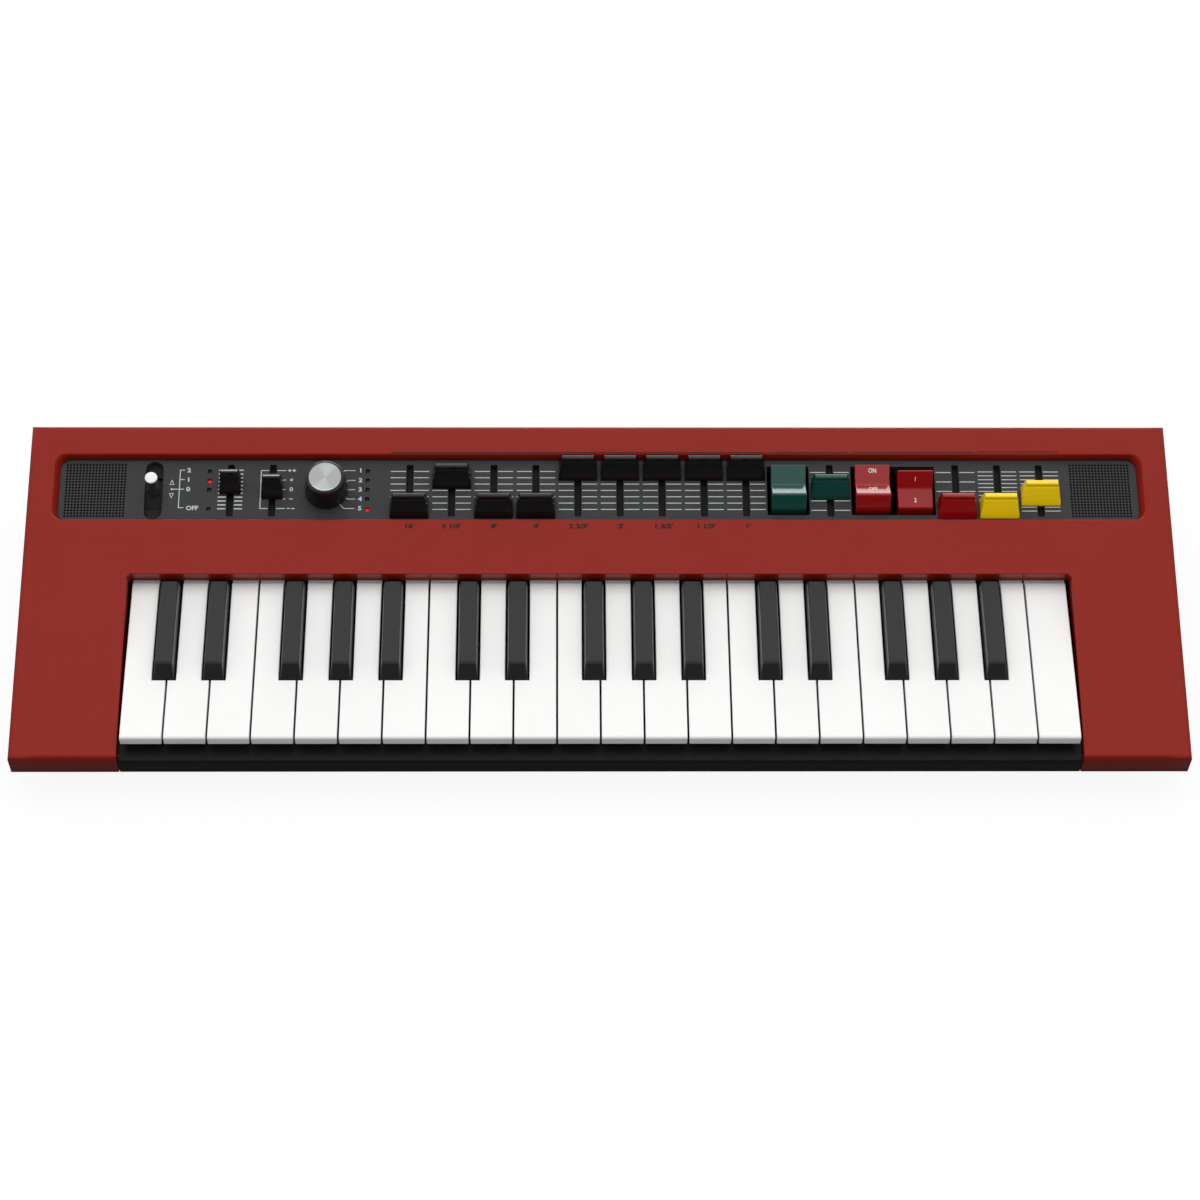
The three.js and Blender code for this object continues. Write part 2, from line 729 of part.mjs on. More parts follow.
// The wave selector: a tapered knob on a shaft, held by a collar under the panel
function waveKnob() {
  const under = -panelPlate - clearance;
  const profile = [
    [0, clearance],
    [knobRadius, clearance],
    [knobGripRadius, knobHeight - knobTopChamfer],
    [knobTopRadius, knobHeight],
    [0, knobHeight],
  ];
  const grip = new THREE.LatheGeometry(profile.map(([r, z]) => new THREE.Vector2(r, z)), 28);
  grip.rotateX(Math.PI / 2);
  const shaft = roundBarAlongZ(knobShaftRadius, [under - footPlate / 2, knobHeight / 2], 16);
  const collar = roundBarAlongZ(knobCollarRadius, [under - footPlate, under], 16);
  return join(grip, shaft, collar);
}

// The sprung speed lever: a rod with a chamfered top, on a cross pin between two lugs of the panel
function speedLever() {
  const top = leverPivotDepth + leverHeight;
  const profile = [
    [0, -leverRadius],
    [leverRadius, -leverRadius],
    [leverRadius, top - leverTopChamfer],
    [leverRadius - leverTopChamfer, top],
    [0, top],
  ];
  const rod = new THREE.LatheGeometry(profile.map(([r, z]) => new THREE.Vector2(r, z)), 20);
  rod.rotateX(Math.PI / 2);
  const pinReach = lugGap / 2 - clearance;
  return join(rod, roundBarAlongX(leverPinRadius, [-pinReach, pinReach], 12));
}

// A rocker with a ridge at each end, on two trunnions; it rests tilted one way
function rocker(side, pinLeft, pinRight) {
  const profile = [
    [-rockerBaseReach, -rockerBaseDepth],
    [-rockerBaseReach + rockerBaseDepth, -rockerKeelDepth],
    [rockerBaseReach - rockerBaseDepth, -rockerKeelDepth],
    [rockerBaseReach, -rockerBaseDepth],
    [rockerRidgeReach + rockerBaseDepth / 2, rockerRidgeHeight - rockerBaseDepth / 2],
    [rockerRidgeReach, rockerRidgeHeight],
    [rockerRidgeReach - rockerBaseDepth, rockerRidgeHeight - rockerBaseDepth / 2],
    [rockerRidgeReach / 3, rockerValleyHeight + rockerBaseDepth / 2],
    [0, rockerValleyHeight],
    [-rockerRidgeReach / 3, rockerValleyHeight + rockerBaseDepth / 2],
    [rockerBaseDepth - rockerRidgeReach, rockerRidgeHeight - rockerBaseDepth / 2],
    [-rockerRidgeReach, rockerRidgeHeight],
    [-rockerRidgeReach - rockerBaseDepth / 2, rockerRidgeHeight - rockerBaseDepth / 2],
  ];
  const half = rockerWidth / 2;
  const body = prismAlongX(profile, [-half, half]).translate(0, 0, rockerPinRadius);
  const pins = roundBarAlongX(rockerPinRadius, [-half - pinLeft, half + pinRight], 10);
  const turned = geometryOf(join(body, pins));
  return turned.rotateX(side * rockerTilt);
}

// The controls' places: sliders first, then the wells that the rockers sit in

const sliders = [
  { name: "volume_slider", x: volumeX, share: volumeShare, small: true, colour: "black" },
  { name: "octave_slider", x: octaveX, share: octaveShare, small: true, colour: "black" },
];
for (let index = 0; index < footageCount; index += 1) {
  sliders.push({
    name: `footage_slider_${index + 1}`,
    x: footageX + index * keyPitch,
    share: footageShares[index % footageShares.length],
    colour: "black",
  });
}
sliders.push(
  { name: "depth_slider", x: depthX, share: depthShare, colour: "green" },
  { name: "length_slider", x: lengthX, share: lengthShare, colour: "red" },
  { name: "distortion_slider", x: lengthX + keyPitch, share: distortionShare, colour: "yellow" },
  { name: "reverb_slider", x: lengthX + 2 * keyPitch, share: reverbShare, colour: "yellow" },
);

const wells = [
  [vibratoX - wellHalfWidth, vibratoX + wellHalfWidth],
  [percussionX - wellHalfWidth, percussionTypeX + wellHalfWidth],
];

// Materials

function finish(colour, roughness, metalness = 0) {
  return new THREE.MeshStandardMaterial({ color: colour, roughness, metalness });
}

const finishes = {
  red: () => finish(0x8f1f1a, 0.35),
  black: () => finish(0x1a1a1b, 0.4),
  panel: () => finish(0x414243, 0.5),
  white: () => finish(0xf2f2ef, 0.3),
  green: () => finish(0x00463c, 0.4),
  yellow: () => finish(0xf5cd00, 0.4),
};

function named(name, body, material) {
  const mesh = new THREE.Mesh(geometryOf(body), material);
  mesh.name = name;
  return mesh;
}

// Assembly

const organ = new THREE.Group();
const deck = new THREE.Group();
deck.position.set(0, 0, deckHeight);
deck.rotation.x = deckTilt;
organ.add(deck);
organ.add(named("bottom_case", bottomCase(), finishes.black()));
deck.add(named("top_case", topCase(), finishes.red()));
deck.add(named("control_panel", controlPanel(), finishes.panel()));

// The keyboard runs from C to C; the shares of the pitch by which black keys stand off centre
const keyboard = new THREE.Group();
keyboard.position.set(0, pivotY, pivotZ);
keyboard.rotation.x = -keySlope;
deck.add(keyboard);

const blackShiftShares = { 0: -0.066, 1: 0.079, 3: -0.143, 4: 0.01, 5: 0.157 };
const whitesPerOctave = 7;
const blackPlaces = [];
for (let line = 0; line < whiteKeyCount - 1; line += 1) {
  const shift = blackShiftShares[line % whitesPerOctave];
  if (shift !== undefined) {
    blackPlaces.push({ line, x: (line + 1 - whiteKeyCount / 2 + shift) * keyPitch });
  }
}

for (let index = 0; index < whiteKeyCount; index += 1) {
  const x = (index + 1 / 2 - whiteKeyCount / 2) * keyPitch;
  const before = blackPlaces.find(({ line }) => line === index - 1);
  const after = blackPlaces.find(({ line }) => line === index);
  const leftCut = before ? before.x + notchWidth / 2 - x : -keyPitch;
  const rightCut = after ? after.x - notchWidth / 2 - x : keyPitch;
  const name = `white_key_${String(index + 1).padStart(2, "0")}`;
  const key = named(name, whiteKey(leftCut, rightCut), finishes.white());
  key.position.x = x;
  keyboard.add(key);
}

blackPlaces.forEach(({ x }, index) => {
  const key = named(`black_key_${String(index + 1).padStart(2, "0")}`, blackKey(), finishes.black());
  key.position.x = x;
  keyboard.add(key);
});

sliders.forEach(({ name, x, share, small, colour }) => {
  const width = small ? smallCapWidth : capWidth;
  const ridge = width - 2 * (small ? smallCapFlankRun : capFlankRun);
  const piece = named(name, slider(width, ridge), finishes[colour]());
  piece.position.set(x, controlY + (1 / 2 - share) * sliderTravel, -panelDrop);
  deck.add(piece);
});

const knob = named("wave_knob", waveKnob(), finishes.black());
knob.position.set(waveX, controlY, -panelDrop);
deck.add(knob);

const lever = named("rotary_speed_lever", speedLever(), finishes.black());
lever.position.set(leverX, controlY, -panelDrop - leverPivotDepth);
deck.add(lever);

const pinReach = wellSideGap - clearance;
const pairReach = rockerPairGap / 2 - clearance;
[
  ["vibrato_chorus_rocker", vibratoX, -1, pinReach, pinReach, "green"],
  ["percussion_rocker", percussionX, -1, pinReach, pairReach, "red"],
  ["percussion_type_rocker", percussionTypeX, 1, pairReach, pinReach, "red"],
].forEach(([name, x, side, left, right, colour]) => {
  const piece = named(name, rocker(side, left, right), finishes[colour]());
  piece.position.set(x, controlY, -panelDrop - rockerPinRadius);
  deck.add(piece);
});

// Stand the part on its feet with the middle of its footprint at the origin
organ.updateMatrixWorld(true);
const reach = new THREE.Box3().setFromObject(organ, true);
organ.position.set(-(reach.min.x + reach.max.x) / 2, -(reach.min.y + reach.max.y) / 2, -reach.min.z);

export default organ;
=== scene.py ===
# Compact combo organ with 37 mini keys: a red case over a black tub, a sunk dark panel of
# sliders, rockers, a knob and a lever, and a keyboard of three octaves from C to C.
import bmesh
import bpy
import json
from math import atan2, pi, radians
from mathutils import Matrix, Vector


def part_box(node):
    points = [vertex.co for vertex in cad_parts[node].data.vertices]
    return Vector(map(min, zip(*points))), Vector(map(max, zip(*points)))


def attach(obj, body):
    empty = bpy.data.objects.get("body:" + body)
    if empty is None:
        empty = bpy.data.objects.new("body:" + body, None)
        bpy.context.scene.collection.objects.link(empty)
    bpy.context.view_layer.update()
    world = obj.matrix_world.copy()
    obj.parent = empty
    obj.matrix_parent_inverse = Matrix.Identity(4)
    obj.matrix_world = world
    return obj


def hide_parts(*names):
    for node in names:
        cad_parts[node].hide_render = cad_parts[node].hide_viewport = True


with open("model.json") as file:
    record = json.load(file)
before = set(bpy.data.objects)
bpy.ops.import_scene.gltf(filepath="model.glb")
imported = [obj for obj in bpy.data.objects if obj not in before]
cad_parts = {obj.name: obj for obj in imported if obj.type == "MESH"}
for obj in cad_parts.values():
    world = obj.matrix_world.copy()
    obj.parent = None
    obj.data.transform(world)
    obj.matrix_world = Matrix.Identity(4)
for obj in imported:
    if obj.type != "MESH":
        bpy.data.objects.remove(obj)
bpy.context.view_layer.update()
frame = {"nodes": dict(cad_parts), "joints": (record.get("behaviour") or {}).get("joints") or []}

# Red top case
# One injection moulding in glossy red plastic with walls 2.5 mm thick, polished in the mould.
# Its deck slopes up to the rear, and it is screwed down on the black tub from below.
MM = 0.001
control_y = 53.0
wave_x = -126.79
panel_z = -4.0
joints = {joint["name"]: joint for joint in frame["joints"]}
knob_turn = joints["wave_knob_turn"]
deck_slope = atan2(-knob_turn["axis"][1], knob_turn["axis"][2])
on_deck = (
    Matrix.Translation(knob_turn["pos_m"])
    @ Matrix.Rotation(deck_slope, 4, "X")
    @ Matrix.Scale(MM, 4)
    @ Matrix.Translation((-wave_x, -control_y, -panel_z))
)


def new_finish(name):
    """A new finish, with its nodes, their links and its shader."""
    finish = bpy.data.materials.new(name)
    finish.use_nodes = True
    nodes = finish.node_tree.nodes
    return finish, nodes, finish.node_tree.links, nodes["Principled BSDF"]


def noise(nodes, links, scale, detail=2.0):
    """A cloudy pattern in the piece's own coordinates."""
    place = nodes.new("ShaderNodeTexCoord")
    cloud = nodes.new("ShaderNodeTexNoise")
    cloud.inputs["Scale"].default_value = scale
    cloud.inputs["Detail"].default_value = detail
    links.new(place.outputs["Object"], cloud.inputs["Vector"])
    return cloud.outputs["Fac"]


def two_tones(nodes, links, pattern, colour, low, high):
    """A colour that the pattern moves between a low and a high share of itself."""
    tint = nodes.new("ShaderNodeMix")
    tint.data_type = "RGBA"
    tint.inputs["A"].default_value = (*[low * part for part in colour], 1.0)
    tint.inputs["B"].default_value = (*[high * part for part in colour], 1.0)
    links.new(pattern, tint.inputs["Factor"])
    return tint.outputs["Result"]


def uneven_gloss(nodes, links, shader, pattern, span, roughnesses):
    """Lets the pattern move the roughness between two values while it crosses a span."""
    gloss = nodes.new("ShaderNodeMapRange")
    for name, value in zip(("From Min", "From Max", "To Min", "To Max"), (*span, *roughnesses)):
        gloss.inputs[name].default_value = value
    links.new(pattern, gloss.inputs["Value"])
    links.new(gloss.outputs["Result"], shader.inputs["Roughness"])


def raised(nodes, links, shader, pattern, strength, depth):
    """Lets the pattern stand out of the surface by a depth in millimetres."""
    relief = nodes.new("ShaderNodeBump")
    relief.inputs["Strength"].default_value = strength
    relief.inputs["Distance"].default_value = depth * MM
    links.new(pattern, relief.inputs["Height"])
    links.new(relief.outputs["Normal"], shader.inputs["Normal"])


def moulded_plastic(name, colour, roughness, grain=0.02, speckle=2600.0, specular=0.5):
    """Moulded plastic: a faint cloud in its colour, uneven gloss and the grain of the mould."""
    finish, nodes, links, shader = new_finish(name)
    shader.inputs["Specular IOR Level"].default_value = specular
    cloud = noise(nodes, links, 23.0, 4.0)
    links.new(two_tones(nodes, links, cloud, colour, 0.955, 1.045), shader.inputs["Base Color"])
    rub = noise(nodes, links, 140.0)
    uneven_gloss(nodes, links, shader, rub, (0.3, 0.7), (roughness * 0.93, roughness * 1.07))
    raised(nodes, links, shader, noise(nodes, links, speckle), 0.35, grain)
    return finish


def score(bm, direction, places, where=None):
    """Cuts the sheet along parallel lines, or only the part of it where the test holds."""
    for place in places:
        faces = [face for face in bm.faces if not where or where(face.calc_center_median())]
        parts = set(faces)
        for face in faces:
            parts.update(face.edges, face.verts)
        bmesh.ops.bisect_plane(bm, geom=list(parts), plane_co=direction * place, plane_no=direction)


def rounded(bm, edges, radius, steps, clamped=False):
    """Rounds edges to a radius."""
    bmesh.ops.bevel(
        bm, geom=edges, offset=radius, offset_type="OFFSET", affect="EDGES", segments=steps,
        profile=0.5, material=-1, clamp_overlap=clamped,
    )


def upright_corners(bm, where):
    """The upright edges at which two walls meet at a sharp angle, where the test holds."""
    found = []
    for edge in bm.edges:
        start, end = (vert.co for vert in edge.verts)
        upright = (start - end).xy.length < 0.01 and abs(start.z - end.z) > 0.5
        if upright and edge.is_manifold and edge.calc_face_angle() > 1.2 and where(start):
            found.append(edge)
    return found


def round_corners(bm, where, radius, steps):
    """Rounds the upright corners at which the test holds."""
    rounded(bm, upright_corners(bm, where), radius, steps)


def extruded(bm, edges):
    """Extrudes edges and returns the new vertices at their far side."""
    grown = bmesh.ops.extrude_edge_only(bm, edges=edges)
    return [item for item in grown["geom"] if isinstance(item, bmesh.types.BMVert)]


def middle_of(edge):
    """The point halfway along an edge."""
    return (edge.verts[0].co + edge.verts[1].co) / 2


def soften(piece, width, steps):
    """Rounds the edges that carry a weight, to that share of the width."""
    rounding = piece.modifiers.new("rounded_edges", "BEVEL")
    rounding.limit_method = "WEIGHT"
    rounding.width = width * MM
    rounding.segments = steps
    rounding.use_clamp_overlap = False


def even_shading(piece):
    """Lets the large flat faces rule the shading beside rounded edges."""
    smoothing = piece.modifiers.new("even_shading", "WEIGHTED_NORMAL")
    smoothing.keep_sharp = True


def finished(name, bm, place, finish, body, nodes=(), sharp=40.0):
    """Makes a piece of a mesh drawn in millimetres: sets its place, shading, finish and body."""
    bmesh.ops.transform(bm, matrix=place, verts=bm.verts)
    for face in bm.faces:
        face.smooth = True
    for edge in bm.edges:
        edge.smooth = not edge.is_manifold or edge.calc_face_angle() < radians(sharp)
    mesh = bpy.data.meshes.new(name)
    bm.to_mesh(mesh)
    bm.free()
    mesh.materials.append(finish)
    piece = bpy.data.objects.new(name, mesh)
    bpy.context.scene.collection.objects.link(piece)
    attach(piece, body)
    if nodes:
        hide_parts(*nodes)
    return piece


case_half_width = 265.0
case_half_depth = 85.4
opening_half = 216.5
opening_rear = 7.25
window_half = 250.8
window_front = 36.4
window_rear = 69.0
window_flare = (2.6, 0.7, 1.3)
skirt_depth = 15.0
rear_wall_depth = 6.5
case_wall = 2.5
rim_radius = 2.0
case_corner_radius = 4.0
opening_corner_radius = 1.5
window_corner_radius = 5.2
window_foot = panel_z + 0.3
rim_weights = {"outer": 1.0, "opening": 0.2, "window": 0.3}

case_red = moulded_plastic(
    "gloss_case_red", (0.25, 0.0125, 0.006), 0.24, grain=0.0025, speckle=420.0, specular=0.23,
)

shell = bmesh.new()
bmesh.ops.create_grid(shell, x_segments=1, y_segments=1, size=1.0)
bmesh.ops.scale(shell, vec=(case_half_width, case_half_depth, 1.0), verts=shell.verts)
rim_half = window_half + window_flare[0]
rim_front = window_front - window_flare[1]
rim_rear = window_rear + window_flare[2]
score(shell, Vector((1, 0, 0)), (-rim_half, -opening_half, opening_half, rim_half))
score(shell, Vector((0, 1, 0)), (opening_rear, rim_front, rim_rear))
holes = []
for face in shell.faces:
    middle = face.calc_center_median()
    over_keys = abs(middle.x) < opening_half and middle.y < opening_rear
    over_panel = abs(middle.x) < rim_half and rim_front < middle.y < rim_rear
    if over_keys or over_panel:
        holes.append(face)
bmesh.ops.delete(shell, geom=holes, context="FACES")
for vert in extruded(shell, [edge for edge in shell.edges if edge.is_boundary]):
    at_window = abs(vert.co.x) < rim_half + 1 and rim_front - 1 < vert.co.y < rim_rear + 1
    vert.co.z = window_foot if at_window else -rear_wall_depth
round_corners(shell, lambda spot: abs(spot.x) > case_half_width - 5, case_corner_radius, 5)
round_corners(shell, lambda spot: abs(spot.y - opening_rear) < 2, opening_corner_radius, 3)
round_corners(shell, lambda spot: 30 < spot.y < 75, window_corner_radius, 6)
for vert in shell.verts:
    if abs(vert.co.z - window_foot) < 0.01:
        vert.co.x *= window_half / rim_half
        share = (vert.co.y - rim_front) / (rim_rear - rim_front)
        vert.co.y = window_front + share * (window_rear - window_front)
lower = []
for edge in shell.edges:
    at_foot = edge.is_boundary and all(vert.co.z < -rear_wall_depth + 0.1 for vert in edge.verts)
    at_rear_wall = all(
        abs(vert.co.y - opening_rear) < 1.6 and abs(vert.co.x) < opening_half + 0.1
        for vert in edge.verts
    )
    if at_foot and not at_rear_wall:
        lower.append(edge)
for vert in extruded(shell, lower):
    vert.co.z = -skirt_depth
bmesh.ops.recalc_face_normals(shell, faces=shell.faces)
rims = shell.edges.layers.float.new("bevel_weight_edge")
for edge in shell.edges:
    level = all(abs(vert.co.z) < 0.01 for vert in edge.verts)
    if level and edge.is_manifold and edge.calc_face_angle() > 0.8:
        middle = middle_of(edge)
        if abs(middle.x) < rim_half + 1 and rim_front - 1 < middle.y < rim_rear + 1:
            edge[rims] = rim_weights["window"]
        elif abs(middle.x) < opening_half + 0.01 and middle.y < opening_rear + 1:
            edge[rims] = rim_weights["opening"]
        else:
            edge[rims] = rim_weights["outer"]
for edge in upright_corners(shell, lambda spot: spot.y < -80 and abs(spot.x) < opening_half + 3):
    edge[rims] = rim_weights["opening"]
top_case = finished(
    "top_case_shell", shell, on_deck, case_red, "root", ["top_case"], 50.0,
)
soften(top_case, rim_radius, 5)
thickness = top_case.modifiers.new("wall", "SOLIDIFY")
thickness.thickness = case_wall * MM
thickness.offset = -1.0
even_shading(top_case)

# Control panel
# A flat plate of fine-grained dark grey plastic, 2 mm thick, clamped under the deck's window
# by its border. Slots, wells and the 19 by 19 holes of each grille are moulded right through.
plate_thickness = 2.0
well_depth = 7.0
plate_border = 3.0
slot_half_width = 1.5
slot_half_length = 13.65
lever_slot_half_width = 4.05
lever_slot_half_length = 15.2
well_half_length = 12.8
rocker_half_width = 8.1
rocker_pitch = 19.57
well_side_gap = 1.6
lamp_hole_half = 1.0
lug_gap = 10.0
lug_width = 2.0
lug_depth = 17.0
shaft_hole_half = 3.3
well_corner_radius = 1.2
lever_slot_radius = 4.0
shaft_hole_radius = 3.25
lamp_hole_radius = 0.98
slot_corner_radius = 0.35
plate_rounding = 0.18
grille_x = (-234.19, 233.5)
grille_holes = 19
grille_pitch = 1.5
grille_hole_radius = 0.56
grille_depth = 0.4
lever_lamp_x = -181.3
lever_lamp_y = (63.1, 58.02, 53.35, 43.26)
wave_lamp_x = -107.75
wave_lamp_y = (63.3, 58.35, 53.4, 48.45, 43.05)

panel_grey = moulded_plastic("matt_panel_grey", (0.024, 0.0245, 0.025), 0.5, grain=0.02)


def middle_x(node):
    """Where a node's middle stands along the keyboard, in millimetres."""
    low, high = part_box(node)
    return (low.x + high.x) / 2 / MM


def either_side(middle, reach):
    """The two places at a reach on either side of a middle."""
    return middle - reach, middle + reach


def cut_opening(bm, across, along):
    """Cuts a rectangle out of a sheet, with lines across the sheet on its two sides only."""
    score(bm, Vector((1, 0, 0)), across)
    score(bm, Vector((0, 1, 0)), along, lambda spot: across[0] < spot.x < across[1])
    waste = []
    for face in bm.faces:
        middle = face.calc_center_median()
        if across[0] < middle.x < across[1] and along[0] < middle.y < along[1]:
            waste.append(face)
    bmesh.ops.delete(bm, geom=waste, context="FACES")


def add_copy(bm, part, place):
    """Adds a placed copy of a part's mesh to a mesh."""
    carried = bpy.data.meshes.new("part")
    part.to_mesh(carried)
    carried.transform(place)
    bm.from_mesh(carried)
    bpy.data.meshes.remove(carried)


def bar(bm, low, high):
    """Adds a plain rectangular bar between two corners."""
    made = bmesh.ops.create_cube(bm, size=1.0)
    size = Vector(high) - Vector(low)
    bmesh.ops.scale(bm, vec=size, verts=made["verts"])
    bmesh.ops.translate(bm, vec=(Vector(low) + Vector(high)) / 2, verts=made["verts"])


slider_nodes = [name for name in frame["nodes"] if name.endswith("_slider")] + [
    name for name in frame["nodes"] if name.startswith("footage_slider_")
]
slider_x = {name: middle_x(name) for name in slider_nodes}
lever_x = middle_x("rotary_speed_lever")
well_reach = rocker_half_width + well_side_gap
vibrato_x = middle_x("vibrato_chorus_rocker")
percussion_x = slider_x["depth_slider"] + rocker_pitch
type_x = percussion_x + rocker_pitch
wells = (either_side(vibrato_x, well_reach), (percussion_x - well_reach, type_x + well_reach))

plate = bmesh.new()
bmesh.ops.create_grid(plate, x_segments=1, y_segments=1, size=1.0)
plate_size = (window_half + plate_border, (window_rear - window_front) / 2 + plate_border, 1.0)
bmesh.ops.scale(plate, vec=plate_size, verts=plate.verts)
bmesh.ops.translate(plate, vec=(0, control_y, panel_z), verts=plate.verts)
for x in slider_x.values():
    slot = either_side(x, slot_half_width)
    cut_opening(plate, slot, either_side(control_y, slot_half_length))
lever_slot = either_side(lever_x, lever_slot_half_width)
cut_opening(plate, lever_slot, either_side(control_y, lever_slot_half_length))
for across in wells:
    cut_opening(plate, across, either_side(control_y, well_half_length))
shaft_hole = either_side(wave_x, shaft_hole_half)
cut_opening(plate, shaft_hole, either_side(control_y, shaft_hole_half))
lamp_places = [(lever_lamp_x, y) for y in lever_lamp_y] + [(wave_lamp_x, y) for y in wave_lamp_y]
for x, y in lamp_places:
    cut_opening(plate, either_side(x, lamp_hole_half), either_side(y, lamp_hole_half))
grille_half = grille_holes * grille_pitch / 2
grille_y = either_side(control_y, grille_half)
for x in grille_x:
    cut_opening(plate, either_side(x, grille_half), grille_y)


def at_plate_border(edge):
    """True on the plate's outer border, which lies hidden under the deck."""
    middle = middle_of(edge)
    return abs(middle.x) > window_half + 2 or abs(middle.y - control_y) > plate_size[1] - 1


def in_grille(spot):
    """True in the two squares of the grilles."""
    return any(abs(spot.x - x) < grille_half + 0.1 for x in grille_x)


def in_well(spot):
    """True in the two wells of the rockers."""
    return any(across[0] - 0.1 < spot.x < across[1] + 0.1 for across in wells)


def shorter_rims(bm, length):
    """The open edges that are shorter than a length."""
    return [edge for edge in bm.edges if edge.is_boundary and edge.calc_length() < length]


def beside(columns, reach):
    """A test that holds close to any of some columns of holes."""
    return lambda spot: any(abs(spot.x - x) < reach + 0.1 for x in columns)


hole_rims = []
grille_rims = []
for edge in plate.edges:
    if edge.is_boundary and not at_plate_border(edge):
        group = grille_rims if in_grille(middle_of(edge)) else hole_rims
        group.append(edge)
for vert in extruded(plate, hole_rims):
    vert.co.z -= well_depth if in_well(vert.co) else plate_thickness
round_corners(plate, in_well, well_corner_radius, 4)
round_corners(plate, beside([lever_x], lever_slot_half_width), lever_slot_radius, 8)
round_corners(plate, beside([wave_x], shaft_hole_half), shaft_hole_radius, 6)
round_corners(plate, beside([lever_lamp_x, wave_lamp_x], lamp_hole_half), lamp_hole_radius, 4)
round_corners(plate, beside(slider_x.values(), slot_half_width), slot_corner_radius, 2)
bmesh.ops.subdivide_edges(plate, edges=grille_rims, cuts=grille_holes - 1)
for x in grille_x:
    field = bmesh.new()
    bmesh.ops.create_grid(field, x_segments=grille_holes, y_segments=grille_holes, size=grille_half)
    cells = field.faces[:]
    bmesh.ops.inset_individual(field, faces=cells, thickness=grille_pitch / 2 - grille_hole_radius)
    bmesh.ops.delete(field, geom=cells, context="FACES_ONLY")
    inner = shorter_rims(field, grille_pitch - 0.1)
    bmesh.ops.subdivide_edges(field, edges=inner, cuts=2)
    rings = shorter_rims(field, grille_hole_radius)
    for vert in {vert for edge in rings for vert in edge.verts}:
        cell = [round(part / grille_pitch) * grille_pitch for part in vert.co.xy]
        centre = Vector((*cell, 0))
        vert.co = centre + (vert.co - centre).normalized() * grille_hole_radius
    bmesh.ops.translate(field, vec=(0, 0, -grille_depth), verts=extruded(field, rings))
    add_copy(plate, field, Matrix.Translation((x, control_y, panel_z)))
    field.free()
top_verts = [vert for vert in plate.verts if abs(vert.co.z - panel_z) < 0.001]
bmesh.ops.remove_doubles(plate, verts=top_verts, dist=0.01)
rims = plate.edges.layers.float.new("bevel_weight_edge")
for edge in plate.edges:
    level = all(abs(vert.co.z - panel_z) < 0.01 for vert in edge.verts)
    sharp = edge.is_manifold and edge.calc_face_angle() > 1.2
    if level and sharp and not in_grille(middle_of(edge)):
        edge[rims] = 1.0
lug_top = panel_z - 1.0
lug_foot = panel_z - plate_thickness - lug_depth
for side in (-1, 1):
    inner = lever_x + side * lug_gap / 2
    outer = inner + side * lug_width
    low = (min(inner, outer), control_y - lug_gap / 2, lug_foot)
    bar(plate, low, (max(inner, outer), control_y + lug_gap / 2, lug_top))
control_panel = finished(
    "control_panel_plate", plate, on_deck, panel_grey, "root", ["control_panel"],
    35.0,
)
soften(control_panel, plate_rounding, 2)

# Grille cloths
# A square of black open-weave cloth is glued behind each field of holes, in front of the
# loudspeaker, where the plate is thinner.
cloth_black = moulded_plastic(
    "cloth_black", (0.0025, 0.0025, 0.0025), 0.95, grain=0.2, speckle=3000.0, specular=0.05,
)
cloths = bmesh.new()
for x in grille_x:
    low = (x - grille_half - 2, grille_y[0] - 1.5, panel_z - grille_depth - 0.4)
    high = (x + grille_half + 2, grille_y[1] + 1.5, panel_z - grille_depth - 0.02)
    bar(cloths, low, high)
finished("grille_cloths", cloths, on_deck, cloth_black, "root", [], 30.0)

# Slide tracks
# Behind each slot the slide control's own housing closes the view into the case: a shallow
# trough of dull dark plastic, pressed up against the back of the panel.
track_half_width = 4.3
track_half_length = 16.0
track_depth = 2.2
track_wall = 0.8

track_dull = moulded_plastic(
    "dull_track_black", (0.008, 0.0075, 0.007), 0.75, grain=0.03, speckle=1800.0,
)
track_top = panel_z - plate_thickness - 0.02
tracks = bmesh.new()
for x in slider_x.values():
    low = (x - track_half_width, control_y - track_half_length, track_top - track_depth)
    bar(tracks, low, (x + track_half_width, control_y + track_half_length, track_top))
tracks.normal_update()
mouths = [face for face in tracks.faces if face.normal.z > 0.5]
bmesh.ops.inset_individual(tracks, faces=mouths, thickness=track_wall)
sunk = bmesh.ops.extrude_discrete_faces(tracks, faces=mouths)
floors = {vert for face in sunk["faces"] for vert in face.verts}
bmesh.ops.translate(tracks, vec=(0, 0, track_wall - track_depth), verts=list(floors))
bmesh.ops.recalc_face_normals(tracks, faces=tracks.faces)
finished("slide_tracks", tracks, on_deck, track_dull, "root", [], 30.0)

# White keys
# Each is a hollow moulding in glossy white plastic, open below, with a saddle at its tail
# that sits over the round head of the key rail; its front edge is rounded over.
white_gloss = moulded_plastic(
    "gloss_key_white", (0.845, 0.847, 0.836), 0.2, grain=0.012, speckle=420.0,
)
key_top = 6.8
key_foot = 1.5
key_front = -105.4
key_half_width = 9.335
key_rounding = 1.0


def key_solid(node, place):
    """A copy of a key's solid about its own pivot, in millimetres, with whole flat faces."""
    bm = bmesh.new()
    bm.from_mesh(frame["nodes"][node].data)
    bmesh.ops.transform(bm, matrix=place.inverted(), verts=bm.verts)
    bmesh.ops.remove_doubles(bm, verts=bm.verts, dist=0.005)
    bmesh.ops.dissolve_limit(bm, angle_limit=radians(1), verts=bm.verts, edges=bm.edges)
    return bm


